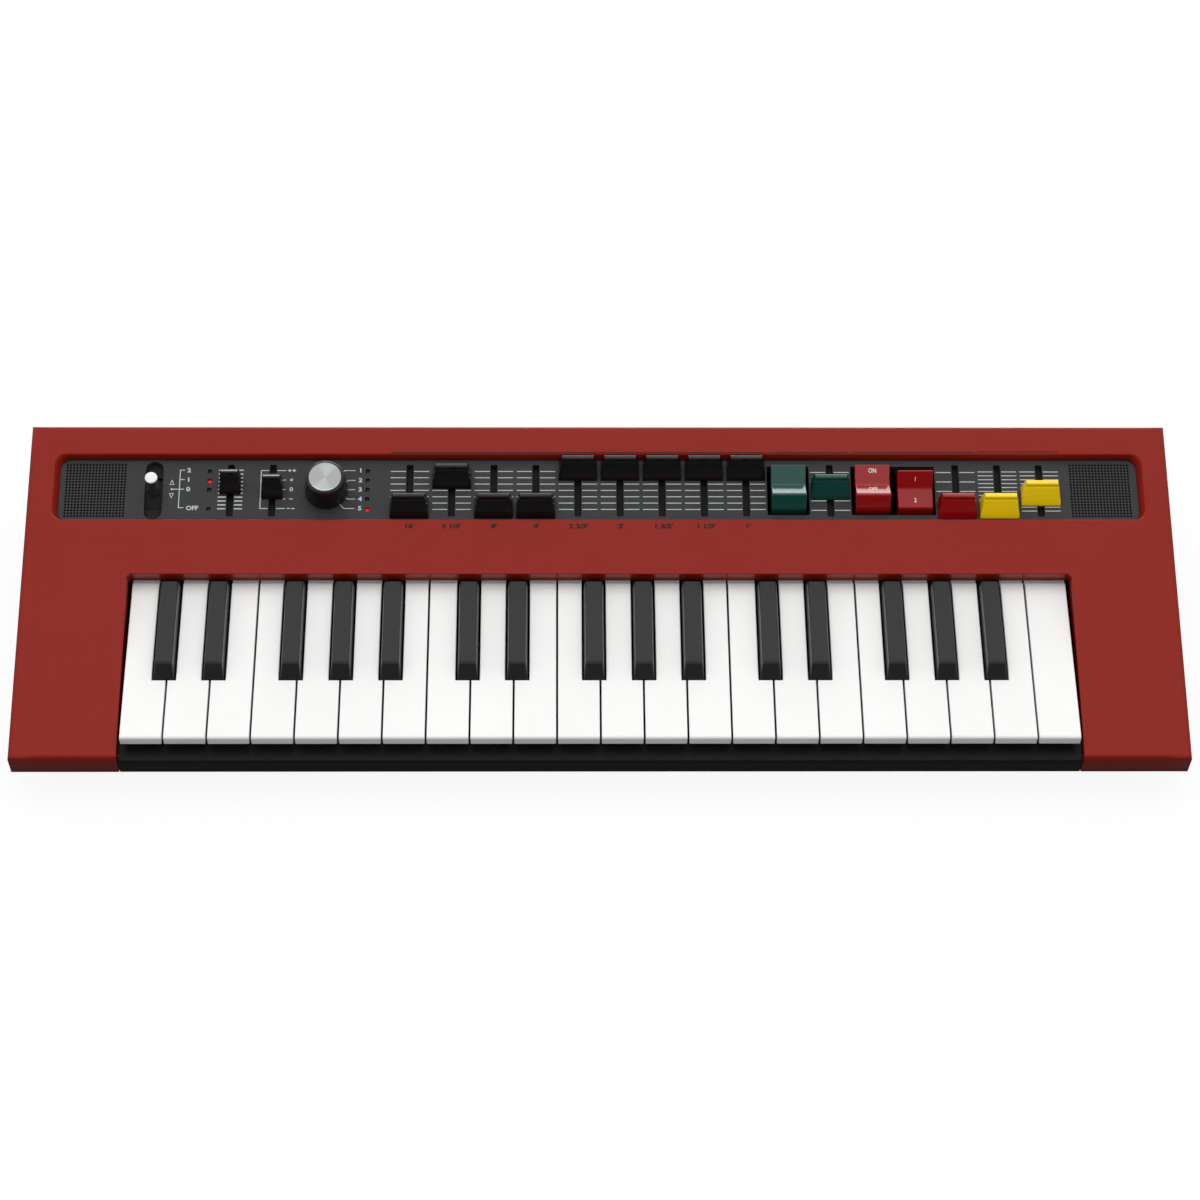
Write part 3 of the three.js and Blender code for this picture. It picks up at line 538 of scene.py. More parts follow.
white_nodes = sorted(name for name in frame["nodes"] if name.startswith("white_key_"))
for node in white_nodes:
    pivot = Matrix.Translation(joints[node + "_hinge"]["pos_m"]) @ Matrix.Scale(MM, 4)
    key = key_solid(node, pivot)
    weights = key.edges.layers.float.new("bevel_weight_edge")
    for edge in key.edges:
        ends = [vert.co for vert in edge.verts]
        at_top = all(end.z > key_top - 0.05 for end in ends)
        at_front = all(end.y < key_front + 0.05 for end in ends)
        at_foot = all(end.z < key_foot + 0.05 for end in ends)
        sharp = edge.is_manifold and edge.calc_face_angle() > 0.3
        outer_side = all(abs(abs(end.x) - key_half_width) < 0.05 for end in ends)
        if not sharp:
            continue
        if at_front and at_foot:
            edge[weights] = 0.8
        elif at_top and all(end.y < key_front + 1 for end in ends):
            edge[weights] = 0.55
        elif at_front and abs(ends[0].z - ends[1].z) < 0.05:
            edge[weights] = 0.55
        elif outer_side and at_foot:
            edge[weights] = 0.9
        elif at_top or at_front:
            edge[weights] = 0.35
        elif all(end.y < key_front + 1 and end.z > key_top - 1 for end in ends):
            edge[weights] = 0.35
    piece = finished(node + "_moulding", key, pivot, white_gloss, node, [node], 50.0)
    soften(piece, key_rounding, 3)
    even_shading(piece)

# Black keys
# Each is a hollow satin black moulding with a tapered top and a sloped, rounded front, on
# the same rail; its tail runs under the deck through the notches of the white keys.
black_satin = moulded_plastic(
    "satin_key_black", (0.012, 0.012, 0.012), 0.36, grain=0.02, speckle=1500.0,
)
black_top = key_top + 6.0
black_front = -73.0
black_nodes = sorted(name for name in frame["nodes"] if name.startswith("black_key_"))
for node in black_nodes:
    pivot = Matrix.Translation(joints[node + "_hinge"]["pos_m"]) @ Matrix.Scale(MM, 4)
    key = key_solid(node, pivot)
    weights = key.edges.layers.float.new("bevel_weight_edge")
    for edge in key.edges:
        ends = [vert.co for vert in edge.verts]
        if not edge.is_manifold or edge.calc_face_angle() < 0.3:
            continue
        above = all(end.z > key_top - 0.05 for end in ends)
        at_top = all(end.z > black_top - 0.05 for end in ends)
        crosswise = abs(ends[0].x - ends[1].x) > 5
        if at_top and crosswise and ends[0].y < black_front + 8:
            edge[weights] = 1.0
        elif at_top or (above and ends[0].y < black_front + 8 and ends[1].y < black_front + 8):
            edge[weights] = 0.6
        elif all(end.y < black_front + 0.1 for end in ends):
            edge[weights] = 0.5
    piece = finished(node + "_moulding", key, pivot, black_satin, node, [node], 50.0)
    soften(piece, key_rounding, 3)
    even_shading(piece)

# Slider caps
# Each is a glossy plastic moulding: a sloped front, a groove and a rounded ridge to push
# against. It is pressed on a stem that runs through its slot to a foot below the panel.
cap_corners = (
    (-5.0, 0.3, 0.25), (0.15, 8.0, 0.4), (0.75, 8.35, 0.3), (1.0, 10.6, 0.95),
    (4.0, 9.45, 1.1), (4.35, 0.3, 0.25),
)
cap_shoulder = 2.2
cap_height = 10.6
wide_cap = (18.0, 14.3)
narrow_cap = (9.9, 8.2)
stem_half_width = 1.2
stem_half_length = 3.5
stem_ends = (-2.9, 2.0)
foot_half_width = 3.5
foot_ends = (-3.5, -2.3)
keel_radius = 1.1
flank_radius = 0.8
slider_travel = 20.0


def cap_plastic(name, colour, roughness, grain, specular=0.5):
    """The glossy plastic of the caps and rockers."""
    return moulded_plastic("gloss_" + name, colour, roughness, grain, 700.0, specular)


control_black = cap_plastic("control_black", (0.0052, 0.0048, 0.0045), 0.18, 0.006)
control_green = cap_plastic("control_green", (0.001, 0.05, 0.039), 0.16, 0.01, 0.7)
control_red = cap_plastic("control_red", (0.27, 0.002, 0.003), 0.16, 0.01, 0.7)
control_yellow = cap_plastic("control_yellow", (0.9, 0.63, 0.003), 0.18, 0.01)


def side_outline(bm, corners):
    """A face in the plane across the keyboard, from a few corners that are each rounded off."""
    verts = [bm.verts.new((0, y, z)) for y, z, cut in corners]
    bm.faces.new(verts)
    for vert, (y, z, cut) in zip(verts, corners):
        if cut:
            bmesh.ops.bevel(
                bm, geom=[vert], offset=cut, offset_type="OFFSET", affect="VERTICES",
                segments=4, profile=0.5, material=-1,
            )


def pushed_out(bm, faces):
    """Extrudes faces as one region and returns the new vertices at their far side."""
    grown = bmesh.ops.extrude_face_region(bm, geom=faces)
    return [item for item in grown["geom"] if isinstance(item, bmesh.types.BMVert)]


def drawn_out(bm, width):
    """Draws the outline out along the keyboard to a width, about its middle."""
    bmesh.ops.translate(bm, vec=(width, 0, 0), verts=pushed_out(bm, bm.faces[:]))
    bmesh.ops.translate(bm, vec=(-width / 2, 0, 0), verts=bm.verts)
    bmesh.ops.recalc_face_normals(bm, faces=bm.faces)


def round_flanks(bm, radius, steps):
    """Rounds the edges between the two flanks and all the rest."""
    rims = []
    for edge in bm.edges:
        if edge.is_manifold and edge.calc_face_angle() > 0.5:
            across = [abs(face.normal.x) > 0.75 for face in edge.link_faces]
            if across[0] != across[1]:
                rims.append(edge)
    rounded(bm, rims, radius, steps, True)


def slider_blank(width, ridge_width):
    """A cap with its stem and foot, about the stem's middle on the panel's face."""
    bm = bmesh.new()
    side_outline(bm, cap_corners)
    drawn_out(bm, width)
    everything = bm.verts[:] + bm.edges[:] + bm.faces[:]
    bmesh.ops.bisect_plane(bm, geom=everything, plane_co=(0, 0, cap_shoulder), plane_no=(0, 0, 1))
    for vert in bm.verts:
        rise = max(0.0, (vert.co.z - cap_shoulder) / (cap_height - cap_shoulder))
        vert.co.x *= 1 - rise * (1 - ridge_width / width)
    keel = []
    for edge in bm.edges:
        low = all(vert.co.z < 0.31 for vert in edge.verts)
        if low and abs(edge.verts[0].co.y - edge.verts[1].co.y) > 4:
            keel.append(edge)
    rounded(bm, keel, keel_radius, 4)
    bmesh.ops.recalc_face_normals(bm, faces=bm.faces)
    round_flanks(bm, flank_radius, 3)
    for half_width, (low, high) in ((stem_half_width, stem_ends), (foot_half_width, foot_ends)):
        bar(bm, (-half_width, -stem_half_length, low), (half_width, stem_half_length, high))
    return bm


cap_finishes = {
    "depth_slider": (control_green, "control_green"),
    "length_slider": (control_red, "control_red"),
    "distortion_slider": (control_yellow, "control_yellow"),
    "reverb_slider": (control_yellow, "control_yellow"),
}
slider_rest = {}
for node in slider_nodes:
    width, ridge_width = narrow_cap if node in ("volume_slider", "octave_slider") else wide_cap
    travelled = joints[node + "_slide"]["range_m"][1] / MM
    slider_rest[node] = control_y + slider_travel / 2 - travelled
    stand = on_deck @ Matrix.Translation((slider_x[node], slider_rest[node], panel_z))
    finish, slot = cap_finishes.get(node, (control_black, "control_black"))
    blank = slider_blank(width, ridge_width)
    finished(node + "_cap", blank, stand, finish, node, [node], 32.0)

# Wave selector knob
# A black plastic knob that tapers upward, pressed on a round shaft, with a disc of finely
# turned aluminium let into its top.
knob_profile = (
    (2.9, -3.5), (2.9, 1.5), (8.8, 1.5), (8.8, 0.3), (10.0, 0.3), (10.1, 0.5), (10.05, 1.2),
    (9.0, 12.3), (8.9, 12.6), (8.65, 12.85), (7.9, 13.25), (7.7, 13.3), (7.62, 13.22), (7.62, 12.6),
)
disc_profile = (
    (0.0, 12.6), (7.55, 12.6), (7.55, 13.18), (7.4, 13.3), (7.05, 13.3), (6.95, 13.24),
    (0.0, 13.24),
)


def turned(bm, profile, steps=64):
    """Spins a line of points (radius, height) into a round solid about the Z axis."""
    verts = [bm.verts.new((radius, 0, height)) for radius, height in profile]
    lines = [bm.edges.new(pair) for pair in zip(verts, verts[1:])]
    bmesh.ops.spin(
        bm, geom=verts + lines, cent=(0, 0, 0), axis=(0, 0, 1), angle=2 * pi, steps=steps,
        use_merge=True,
    )
    bmesh.ops.remove_doubles(bm, verts=bm.verts, dist=0.001)
    bmesh.ops.recalc_face_normals(bm, faces=bm.faces)


knob_stand = on_deck @ Matrix.Translation((wave_x, control_y, panel_z))
knob = bmesh.new()
turned(knob, knob_profile)
knob_black = moulded_plastic(
    "satin_knob_black", (0.008, 0.008, 0.008), 0.3, grain=0.01, speckle=900.0,
)
finished(
    "wave_knob_body", knob, knob_stand, knob_black, "wave_knob", ["wave_knob"], 35.0,
)


def worked_out(nodes, links, operation, *terms):
    """The result of a sum whose terms are plain numbers or the outputs of nodes."""
    step = nodes.new("ShaderNodeMath")
    step.operation = operation
    for socket, term in zip(step.inputs, terms):
        if isinstance(term, float):
            socket.default_value = term
        else:
            links.new(term, socket)
    return step.outputs["Value"]


def turned_aluminium(name, colour, roughness, centre_turn):
    """Bare aluminium with a lathe's fine rings, and two wedges of painted highlight in its colour.
    """
    finish, nodes, links, shader = new_finish(name)
    shader.inputs["Metallic"].default_value = 1.0
    shader.inputs["Roughness"].default_value = roughness
    shader.inputs["Anisotropic"].default_value = 0.8
    place = nodes.new("ShaderNodeTexCoord")
    centred = nodes.new("ShaderNodeMapping")
    centred.vector_type = "TEXTURE"
    centred.inputs["Location"].default_value = centre_turn.translation
    centred.inputs["Rotation"].default_value = (deck_slope, 0.0, 0.0)
    links.new(place.outputs["Object"], centred.inputs["Vector"])
    rings = nodes.new("ShaderNodeTexWave")
    rings.wave_type = "RINGS"
    rings.rings_direction = "Z"
    rings.inputs["Scale"].default_value = 1500.0
    rings.inputs["Distortion"].default_value = 0.4
    links.new(centred.outputs["Vector"], rings.inputs["Vector"])
    turn = nodes.new("ShaderNodeUVMap")
    turn.uv_map = "around"
    share = nodes.new("ShaderNodeSeparateXYZ")
    links.new(turn.outputs["UV"], share.inputs["Vector"])
    # Painted highlight: the colour is lifted in two opposite wedges around the disc and lowered
    # between them.
    wedge = worked_out(nodes, links, "MULTIPLY_ADD", share.outputs["X"], 4 * pi, 0.35)
    painted_highlight_level = nodes.new("ShaderNodeMapRange")
    painted_highlight_level.interpolation_type = "SMOOTHSTEP"
    painted_highlight_level.inputs["From Min"].default_value = -1.0
    painted_highlight_level.inputs["From Max"].default_value = 0.2
    painted_highlight_level.inputs["To Min"].default_value = 1.12
    painted_highlight_level.inputs["To Max"].default_value = 0.86
    links.new(worked_out(nodes, links, "COSINE", wedge), painted_highlight_level.inputs["Value"])
    painted_highlight_colour = nodes.new("ShaderNodeVectorMath")
    painted_highlight_colour.operation = "SCALE"
    tone = two_tones(nodes, links, rings.outputs["Fac"], colour, 0.9, 1.0)
    links.new(tone, painted_highlight_colour.inputs["Vector"])
    links.new(painted_highlight_level.outputs["Result"], painted_highlight_colour.inputs["Scale"])
    links.new(painted_highlight_colour.outputs["Vector"], shader.inputs["Base Color"])
    raised(nodes, links, shader, rings.outputs["Fac"], 0.15, 0.01)
    around = nodes.new("ShaderNodeTangent")
    around.direction_type = "UV_MAP"
    around.uv_map = "around"
    links.new(around.outputs["Tangent"], shader.inputs["Tangent"])
    return finish


disc = bmesh.new()
turned(disc, disc_profile, 96)
around = disc.loops.layers.uv.new("around")
for face in disc.faces:
    middle = face.calc_center_median()
    main = atan2(middle.y, middle.x)
    for loop in face.loops:
        spot = loop.vert.co
        turn = atan2(spot.y, spot.x) if spot.xy.length > 0.001 else main
        turn += 2 * pi * round((main - turn) / (2 * pi))
        loop[around].uv = (turn / (2 * pi), spot.xy.length)
aluminium = turned_aluminium("turned_aluminium", (0.78, 0.79, 0.79), 0.36, knob_stand)
finished("wave_knob_disc", disc, knob_stand, aluminium, "wave_knob", [], 30.0)

# Rotary speed lever
# A polished black plastic rod with a white top, on a cross pin between two lugs of the panel.
# It is sprung to its middle. A felt apron on the rod and two felt pads keep dust out of the slot.
lever_pivot = 14.0
rod_profile = ((0.0, -3.0), (2.9, -3.0), (2.9, 25.65), (2.8, 25.75), (0.0, 25.75))
cap_disc_profile = (
    (0.0, 25.78), (2.75, 25.78), (2.88, 25.9), (2.88, 26.3), (2.76, 26.53), (2.5, 26.6),
    (0.0, 26.6),
)
apron_radius = 11.4
apron_half_width = 4.6
apron_half_angle = 74.0
pin_radius = 1.5
pin_length = 9.4
pad_half_width = 5.5
pad_reach = (8.4, 17.0)
pad_heights = (-4.2, -3.6)
felt_thickness = 0.6
lever_stand = on_deck @ Matrix.Translation((lever_x, control_y, panel_z - lever_pivot))
rod = bmesh.new()
turned(rod, rod_profile, 40)
bmesh.ops.create_cone(
    rod, cap_ends=True, cap_tris=False, segments=20, radius1=pin_radius, radius2=pin_radius,
    depth=pin_length, matrix=Matrix.Rotation(pi / 2, 4, "Y"),
)
lever_black = moulded_plastic(
    "gloss_lever_black", (0.04, 0.04, 0.041), 0.25, grain=0.004, speckle=700.0,
)
finished(
    "speed_lever_rod", rod, lever_stand, lever_black, "rotary_speed_lever",
    ["rotary_speed_lever"], 35.0,
)
lever_disc = bmesh.new()
turned(lever_disc, cap_disc_profile, 40)
lever_white = moulded_plastic("gloss_lever_white", (0.80, 0.81, 0.81), 0.25, grain=0.003)
finished(
    "speed_lever_disc", lever_disc, lever_stand, lever_white, "rotary_speed_lever",
    [], 30.0,
)

apron = bmesh.new()
edge_ends = [apron.verts.new((side * apron_half_width, 0, apron_radius)) for side in (-1, 1)]
edge_line = apron.edges.new(edge_ends)
apron_start = Matrix.Rotation(radians(-apron_half_angle), 3, "X")
bmesh.ops.rotate(apron, cent=(0, 0, 0), matrix=apron_start, verts=edge_ends)
bmesh.ops.spin(
    apron, geom=[*edge_ends, edge_line], cent=(0, 0, 0), axis=(1, 0, 0),
    angle=radians(2 * apron_half_angle), steps=24, use_merge=False,
)
bmesh.ops.solidify(apron, geom=apron.faces[:], thickness=felt_thickness)
bmesh.ops.recalc_face_normals(apron, faces=apron.faces)
felt_dark = moulded_plastic(
    "felt_dark_grey", (0.024, 0.023, 0.023), 0.9, grain=0.25, speckle=2200.0, specular=0.1,
)
finished(
    "speed_lever_apron", apron, lever_stand, felt_dark, "rotary_speed_lever",
    [], 30.0,
)

pads = bmesh.new()
for side in (-1, 1):
    front, rear = sorted(control_y + side * reach for reach in pad_reach)
    low = (lever_x - pad_half_width, front, panel_z + pad_heights[0])
    bar(pads, low, (lever_x + pad_half_width, rear, panel_z + pad_heights[1]))
finished("speed_lever_pads", pads, on_deck, felt_dark, "root", [], 30.0)

# Rockers
# Each is a glossy moulding with a raised edge at each end and a scoop between, on two short
# trunnions in its well; it stays where it was last pressed.
rocker_corners = (
    (-12.0, 0.0, 0.6), (-9.5, 7.9, 1.1), (0.0, 4.7, 1.6), (8.0, 10.4, 1.1), (9.6, 0.0, 0.6),
    (9.4, -4.0, 0.4), (-11.0, -4.0, 0.4),
)
rocker_tilt = radians(16.4)
trunnion_drop = 1.0
rocker_x = {
    "vibrato_chorus_rocker": (vibrato_x, -1, control_green, "control_green"),
    "percussion_rocker": (percussion_x, -1, control_red, "control_red"),
    "percussion_type_rocker": (type_x, 1, control_red, "control_red"),
}
rocker_stand = {}
for node, (x, side, finish, slot) in rocker_x.items():
    rocker = bmesh.new()
    side_outline(rocker, rocker_corners)
    drawn_out(rocker, 2 * rocker_half_width)
    round_flanks(rocker, flank_radius, 4)
    place = Matrix.Translation((x, control_y, panel_z - trunnion_drop))
    rocker_stand[node] = on_deck @ place @ Matrix.Rotation(side * rocker_tilt, 4, "X")
    finished(node + "_moulding", rocker, rocker_stand[node], finish, node, [node], 28.0)

# Lamps
# Small lamps with round clear lenses, let into their holes from behind so that each lies a
# little below the panel's face. The second speed and the last wave are chosen, and glow red.
lens_profile = ((0.0, -2.2), (0.9, -2.2), (0.9, -1.05), (0.75, -0.85), (0.4, -0.72), (0.0, -0.68))
lit_places = ((lever_lamp_x, lever_lamp_y[1]), (wave_lamp_x, wave_lamp_y[4]))


def lamp_lens(name, colour, glow):
    """A clear coloured lens that may glow evenly from inside."""
    finish, nodes, links, shader = new_finish(name)
    shader.inputs["Roughness"].default_value = 0.12
    shader.inputs["Emission Strength"].default_value = glow
    shader.inputs["Emission Color"].default_value = (1.0, 0.002, 0.012, 1.0)
    haze = noise(nodes, links, 900.0)
    links.new(two_tones(nodes, links, haze, colour, 0.85, 1.15), shader.inputs["Base Color"])
    return finish


def add_turned(bm, profile, places, steps):
    """Adds a turned part to a mesh, once at each of its places."""
    part = bmesh.new()
    turned(part, profile, steps)
    for place in places:
        add_copy(bm, part, place)
    part.free()


for name, lit, colour, glow in (
    ("lamps_lit", True, (0.5, 0.004, 0.008), 0.8),
    ("lamps_dark", False, (0.012, 0.010, 0.010), 0.0),
):
    spots = [spot for spot in lamp_places if (spot in lit_places) == lit]
    lenses = bmesh.new()
    add_turned(lenses, lens_profile, [Matrix.Translation((*spot, panel_z)) for spot in spots], 20)
    clear = lamp_lens(name + "_lens", colour, glow)
    finished(name, lenses, on_deck, clear, "root", [], 35.0)

# Scales on the panel
# Fine lines, signs and figures screen-printed in pale grey ink straight on the panel: scales
# beside the slots, a bracket that joins the speeds, and a pointer line for each wave.
ink_height = 0.03
line_width = 0.42
slot_gap = slot_half_width + 0.45
figure_height = 2.15
figure_weight = 0.11
sign_width = 0.5
stop_y = 53.65
arrow_x = -198.75
octave_sign_x = -143.2


def printing_ink(name, colour):
    """A thin matt coat of ink that covers a little unevenly."""
    finish, nodes, links, shader = new_finish(name)
    shader.inputs["Roughness"].default_value = 0.55
    shader.inputs["Specular IOR Level"].default_value = 0.3
    cover = noise(nodes, links, 1400.0, 3.0)
    links.new(two_tones(nodes, links, cover, colour, 0.88, 1.08), shader.inputs["Base Color"])
    return finish


def stroke(bm, points, width=line_width):
    """A printed line of even width along a few points, with mitred bends."""
    spots = [Vector((*point, 0)) for point in points]
    sides = []
    for start, end in zip(spots, spots[1:]):
        run = (end - start).normalized()
        sides.append(Vector((-run.y, run.x, 0)))
    across = [sides[0]]
    for before, after in zip(sides, sides[1:]):
        across.append((before + after) / (1 + before.dot(after)))
    across.append(sides[-1])
    spot, side = spots[0], across[0]
    tip = bm.edges.new([bm.verts.new(spot + turn * side * width / 2) for turn in (1, -1)])
    for next_spot, next_side in zip(spots[1:], across[1:]):
        ends = extruded(bm, [tip])
        tip = bm.edges.get(ends)
        for vert in ends:
            turn = 1 if (vert.co - spot).dot(side) > 0 else -1
            vert.co = next_spot + turn * next_side * width / 2
        spot, side = next_spot, next_side


def face_up(bm):
    """Turns every flat face of a print so that it faces up from its surface."""
    bm.normal_update()
    turned_over = [face for face in bm.faces if face.normal.z < 0]
    bmesh.ops.reverse_faces(bm, faces=turned_over)


def lettering(bm, text, place, height, breadth=1.0, weight=0.0):
    """Adds flat letters and figures, centred on a place, with capitals of a given height."""
    letters = bpy.data.curves.new("letters", "FONT")
    letters.body = text
    letters.size = height / 0.7
    letters.align_x = "CENTER"
    letters.align_y = "CENTER"
    letters.offset = weight
    letters.resolution_u = 4
    holder = bpy.data.objects.new("letters", letters)
    flat = bpy.data.meshes.new_from_object(holder)
    flat.transform(place @ Matrix.Diagonal((breadth, 1.0, 1.0, 1.0)))
    bm.from_mesh(flat)
    bpy.data.objects.remove(holder)
    bpy.data.curves.remove(letters)
    bpy.data.meshes.remove(flat)


def scale_lines(bm, x, half_width, ys, width=line_width):
    """The lines of a slider's scale, each in two halves that stop short of the slot."""
    for y in ys:
        stroke(bm, ((x - half_width, y), (x - slot_gap, y)), width)
        stroke(bm, ((x + slot_gap, y), (x + half_width, y)), width)


def steps_between(start, end, count):
    """Evenly spaced places from a start to an end."""
    return [start + (end - start) * index / (count - 1) for index in range(count)]


def on_panel(x, y):
    """A place on the panel's face."""
    return Matrix.Translation((x, y, 0))


scales = bmesh.new()
stroke(scales, ((-192.9, 63.75), (-195.15, 63.75), (-195.2, 43.87), (-192.83, 43.87)))
stroke(scales, ((-194.9, 58.75), (-192.85, 58.75)))
stroke(scales, ((-194.9, stop_y), (-192.98, stop_y)))
stroke(scales, ((-198.2, stop_y), (-195.45, stop_y)))
bmesh.ops.create_circle(
    scales, cap_ends=True, cap_tris=False, segments=16, radius=0.55,
    matrix=Matrix.Translation((-198.7, stop_y, 0.002)),
)
for middle_y, turn in ((57.2, 1), (50.3, -1)):
    tip = (arrow_x, middle_y + turn * 1.15)
    left = (arrow_x - 0.95, middle_y - turn * 1.1)
    right = (arrow_x + 0.95, middle_y - turn * 1.1)
    base = (arrow_x, middle_y - turn * 1.1)
    stroke(scales, (base, left, tip, right, base), 0.3)
volume_x = slider_x["volume_slider"]
octave_x = slider_x["octave_slider"]
scale_lines(scales, volume_x, 5.75, steps_between(63.75, 43.3, 11), 0.62)
bracket_x = -157.45
near_slot = octave_x - slot_gap
stroke(scales, ((near_slot, 63.55), (bracket_x, 63.55), (bracket_x, 43.44), (near_slot, 43.44)))
for y in (58.52, 53.5, 48.47):
    stroke(scales, ((bracket_x + 0.3, y), (near_slot, y)))
for y in steps_between(63.55, 43.44, 5):
    stroke(scales, ((octave_x + slot_gap, y), (-145.85, y)))
for step, y in zip((2, 1, 0, -1, -2), steps_between(63.6, 43.46, 5)):
    if step == 0:
        lettering(scales, "0", on_panel(octave_sign_x, y), 2.0, 1.1, 0.1)
    for place in range(abs(step)):
        x = octave_sign_x + (place - (abs(step) - 1) / 2) * 2.1
        stroke(scales, ((x - 0.8, y), (x + 0.8, y)), sign_width)
        if step > 0:
            stroke(scales, ((x, y - 0.8), (x, y - 0.26)), sign_width)
            stroke(scales, ((x, y + 0.26), (x, y + 0.8)), sign_width)
wave_pointers = (
    ((-119.0, 63.1), (-118.62, 63.57), (-113.55, 63.57)),
    ((-117.5, 57.7), (-116.62, 58.36), (-113.55, 58.36)),
    ((-116.95, 53.4), (-113.55, 53.4)),
    ((-117.95, 49.2), (-116.82, 48.44), (-113.5, 48.44)),
    ((-120.65, 45.85), (-118.54, 43.47), (-113.6, 43.47)),
)
for number, pointer in enumerate(wave_pointers, start=1):
    stroke(scales, pointer, 0.38)
    place = on_panel(-111.15, pointer[-1][1])
    lettering(scales, str(number), place, figure_height, 1.15, figure_weight)
for text, y in (("2", 63.6), ("1", 58.6), ("0", 53.55)):
    lettering(scales, text, on_panel(-191.1, y), figure_height, 1.2, figure_weight)
lettering(scales, "OFF", on_panel(-188.85, 43.6), figure_height, 1.05, figure_weight)
for node, x in slider_x.items():
    if node.startswith("footage_slider_"):
        scale_lines(scales, x, 8.95, steps_between(63.12, 43.0, 7))
    elif node in ("depth_slider", "length_slider"):
        scale_lines(scales, x, 9.05, steps_between(62.65, 42.55, 5))
    elif node in ("distortion_slider", "reverb_slider"):
        scale_lines(scales, x, 9.0, steps_between(62.97, 42.2, 11))
face_up(scales)
bmesh.ops.translate(scales, vec=(0, 0, panel_z + ink_height), verts=scales.verts)
pale_ink = printing_ink("pale_ink", (0.47, 0.51, 0.52))
finished("panel_print", scales, on_deck, pale_ink, "root", [], 30.0)

# Print on the deck
# A line behind each group of controls, and the pitch of each footage slider in front of it,
# in dark ink on the red deck.
footages = ("16'", "5 1/3'", "8'", "4'", "2 2/3'", "2'", "1 3/5'", "1 1/3'", "1'")
footage_y = 31.95
deck_lines = (
    (-96.8, 77.45, 71.0), (78.9, 116.45, 71.05), (118.25, 175.0, 71.2), (176.6, 214.45, 71.45),
)
marks = bmesh.new()
for start, end, y in deck_lines:
    stroke(marks, ((start, y), (end, y)), 0.6)
footage_nodes = sorted(node for node in slider_nodes if node.startswith("footage_slider_"))
for node, text in zip(footage_nodes, footages):
    lettering(marks, text, on_panel(slider_x[node] + 0.3, footage_y), 2.2, 1.25, 0.15)
face_up(marks)
bmesh.ops.translate(marks, vec=(0, 0, ink_height), verts=marks.verts)
dark_ink = printing_ink("dark_ink", (0.012, 0.010, 0.010))
finished("deck_print", marks, on_deck, dark_ink, "root", [], 30.0)

# Print on the controls, and a line on two caps
# ON and OFF on one rocker and the figures 1 and 2 on the next, in white, and a light grey line
# in the same thin matt coat along the ridge of the two narrow caps.
white_ink = printing_ink("white_ink", (0.72, 0.70, 0.69))
(front_y, front_z, cut), (scoop_y, scoop_z, cut), (rear_y, rear_z, cut) = rocker_corners[1:4]
rocker_front_slope = (front_z - scoop_z) / (scoop_y - front_y)
rocker_rear_slope = (rear_z - scoop_z) / (rear_y - scoop_y)
rocker_text = {
    "percussion_rocker": (("ON", 5.3, 2.15), ("OFF", -4.2, 2.9)),
    "percussion_type_rocker": (("1", 4.3, 2.15), ("2", -5.6, 2.15)),
}
for node, words in rocker_text.items():
    text_bm = bmesh.new()
    for text, y, tall in words:
        slope = rocker_rear_slope if y > 0 else -rocker_front_slope
        height = scoop_z + y * slope
        lean = Matrix.Rotation(atan2(slope, 1.0), 4, "X")
        place = Matrix.Translation((0, y, height)) @ lean @ Matrix.Translation((0, 0, ink_height))
        lettering(text_bm, text, place, tall, 1.65 / tall, 0.06)
    finished(node + "_print", text_bm, rocker_stand[node], white_ink, node, [], 30.0)
ridge_line_grey = printing_ink("ridge_line_grey", (0.36, 0.37, 0.37))
(ridge_y, ridge_z, cut), (back_y, back_z, cut) = cap_corners[3:5]
ridge_slope = atan2(back_z - ridge_z, back_y - ridge_y)
ridge_line = (0, 2.4, 10.063 + ink_height)
for node in ("volume_slider", "octave_slider"):
    line = bmesh.new()
    stroke(line, ((-3.7, 0), (3.7, 0)), 0.7)
    face_up(line)
    lean = Matrix.Rotation(ridge_slope, 4, "X")
    bmesh.ops.transform(line, matrix=Matrix.Translation(ridge_line) @ lean, verts=line.verts)
    stand = on_deck @ Matrix.Translation((slider_x[node], slider_rest[node], panel_z))
    finished(node + "_line", line, stand, ridge_line_grey, node, [], 30.0)

# Bottom case
# A tub of satin black plastic that carries the key rail, the key stop and the front rail, and
# is set in below the red case. Its base has screw wells, and a lid over the battery box.
case_black = moulded_plastic(
    "satin_case_black", (0.006, 0.006, 0.0055), 0.4, grain=0.02, specular=0.3,
)
tub = bmesh.new()
tub.from_mesh(frame["nodes"]["bottom_case"].data)
bmesh.ops.remove_doubles(tub, verts=tub.verts, dist=0.000005)
bmesh.ops.dissolve_limit(tub, angle_limit=radians(1), verts=tub.verts, edges=tub.edges)
bmesh.ops.transform(tub, matrix=Matrix.Scale(1 / MM, 4), verts=tub.verts)
in_metres = Matrix.Scale(MM, 4)
base_piece = finished(
    "bottom_case_moulding", tub, in_metres, case_black, "root", ["bottom_case"], 30.0,
)
rounding = base_piece.modifiers.new("rounded_edges", "BEVEL")
rounding.limit_method = "ANGLE"
rounding.angle_limit = radians(40)
rounding.width = 0.3 * MM
rounding.segments = 2
even_shading(base_piece)

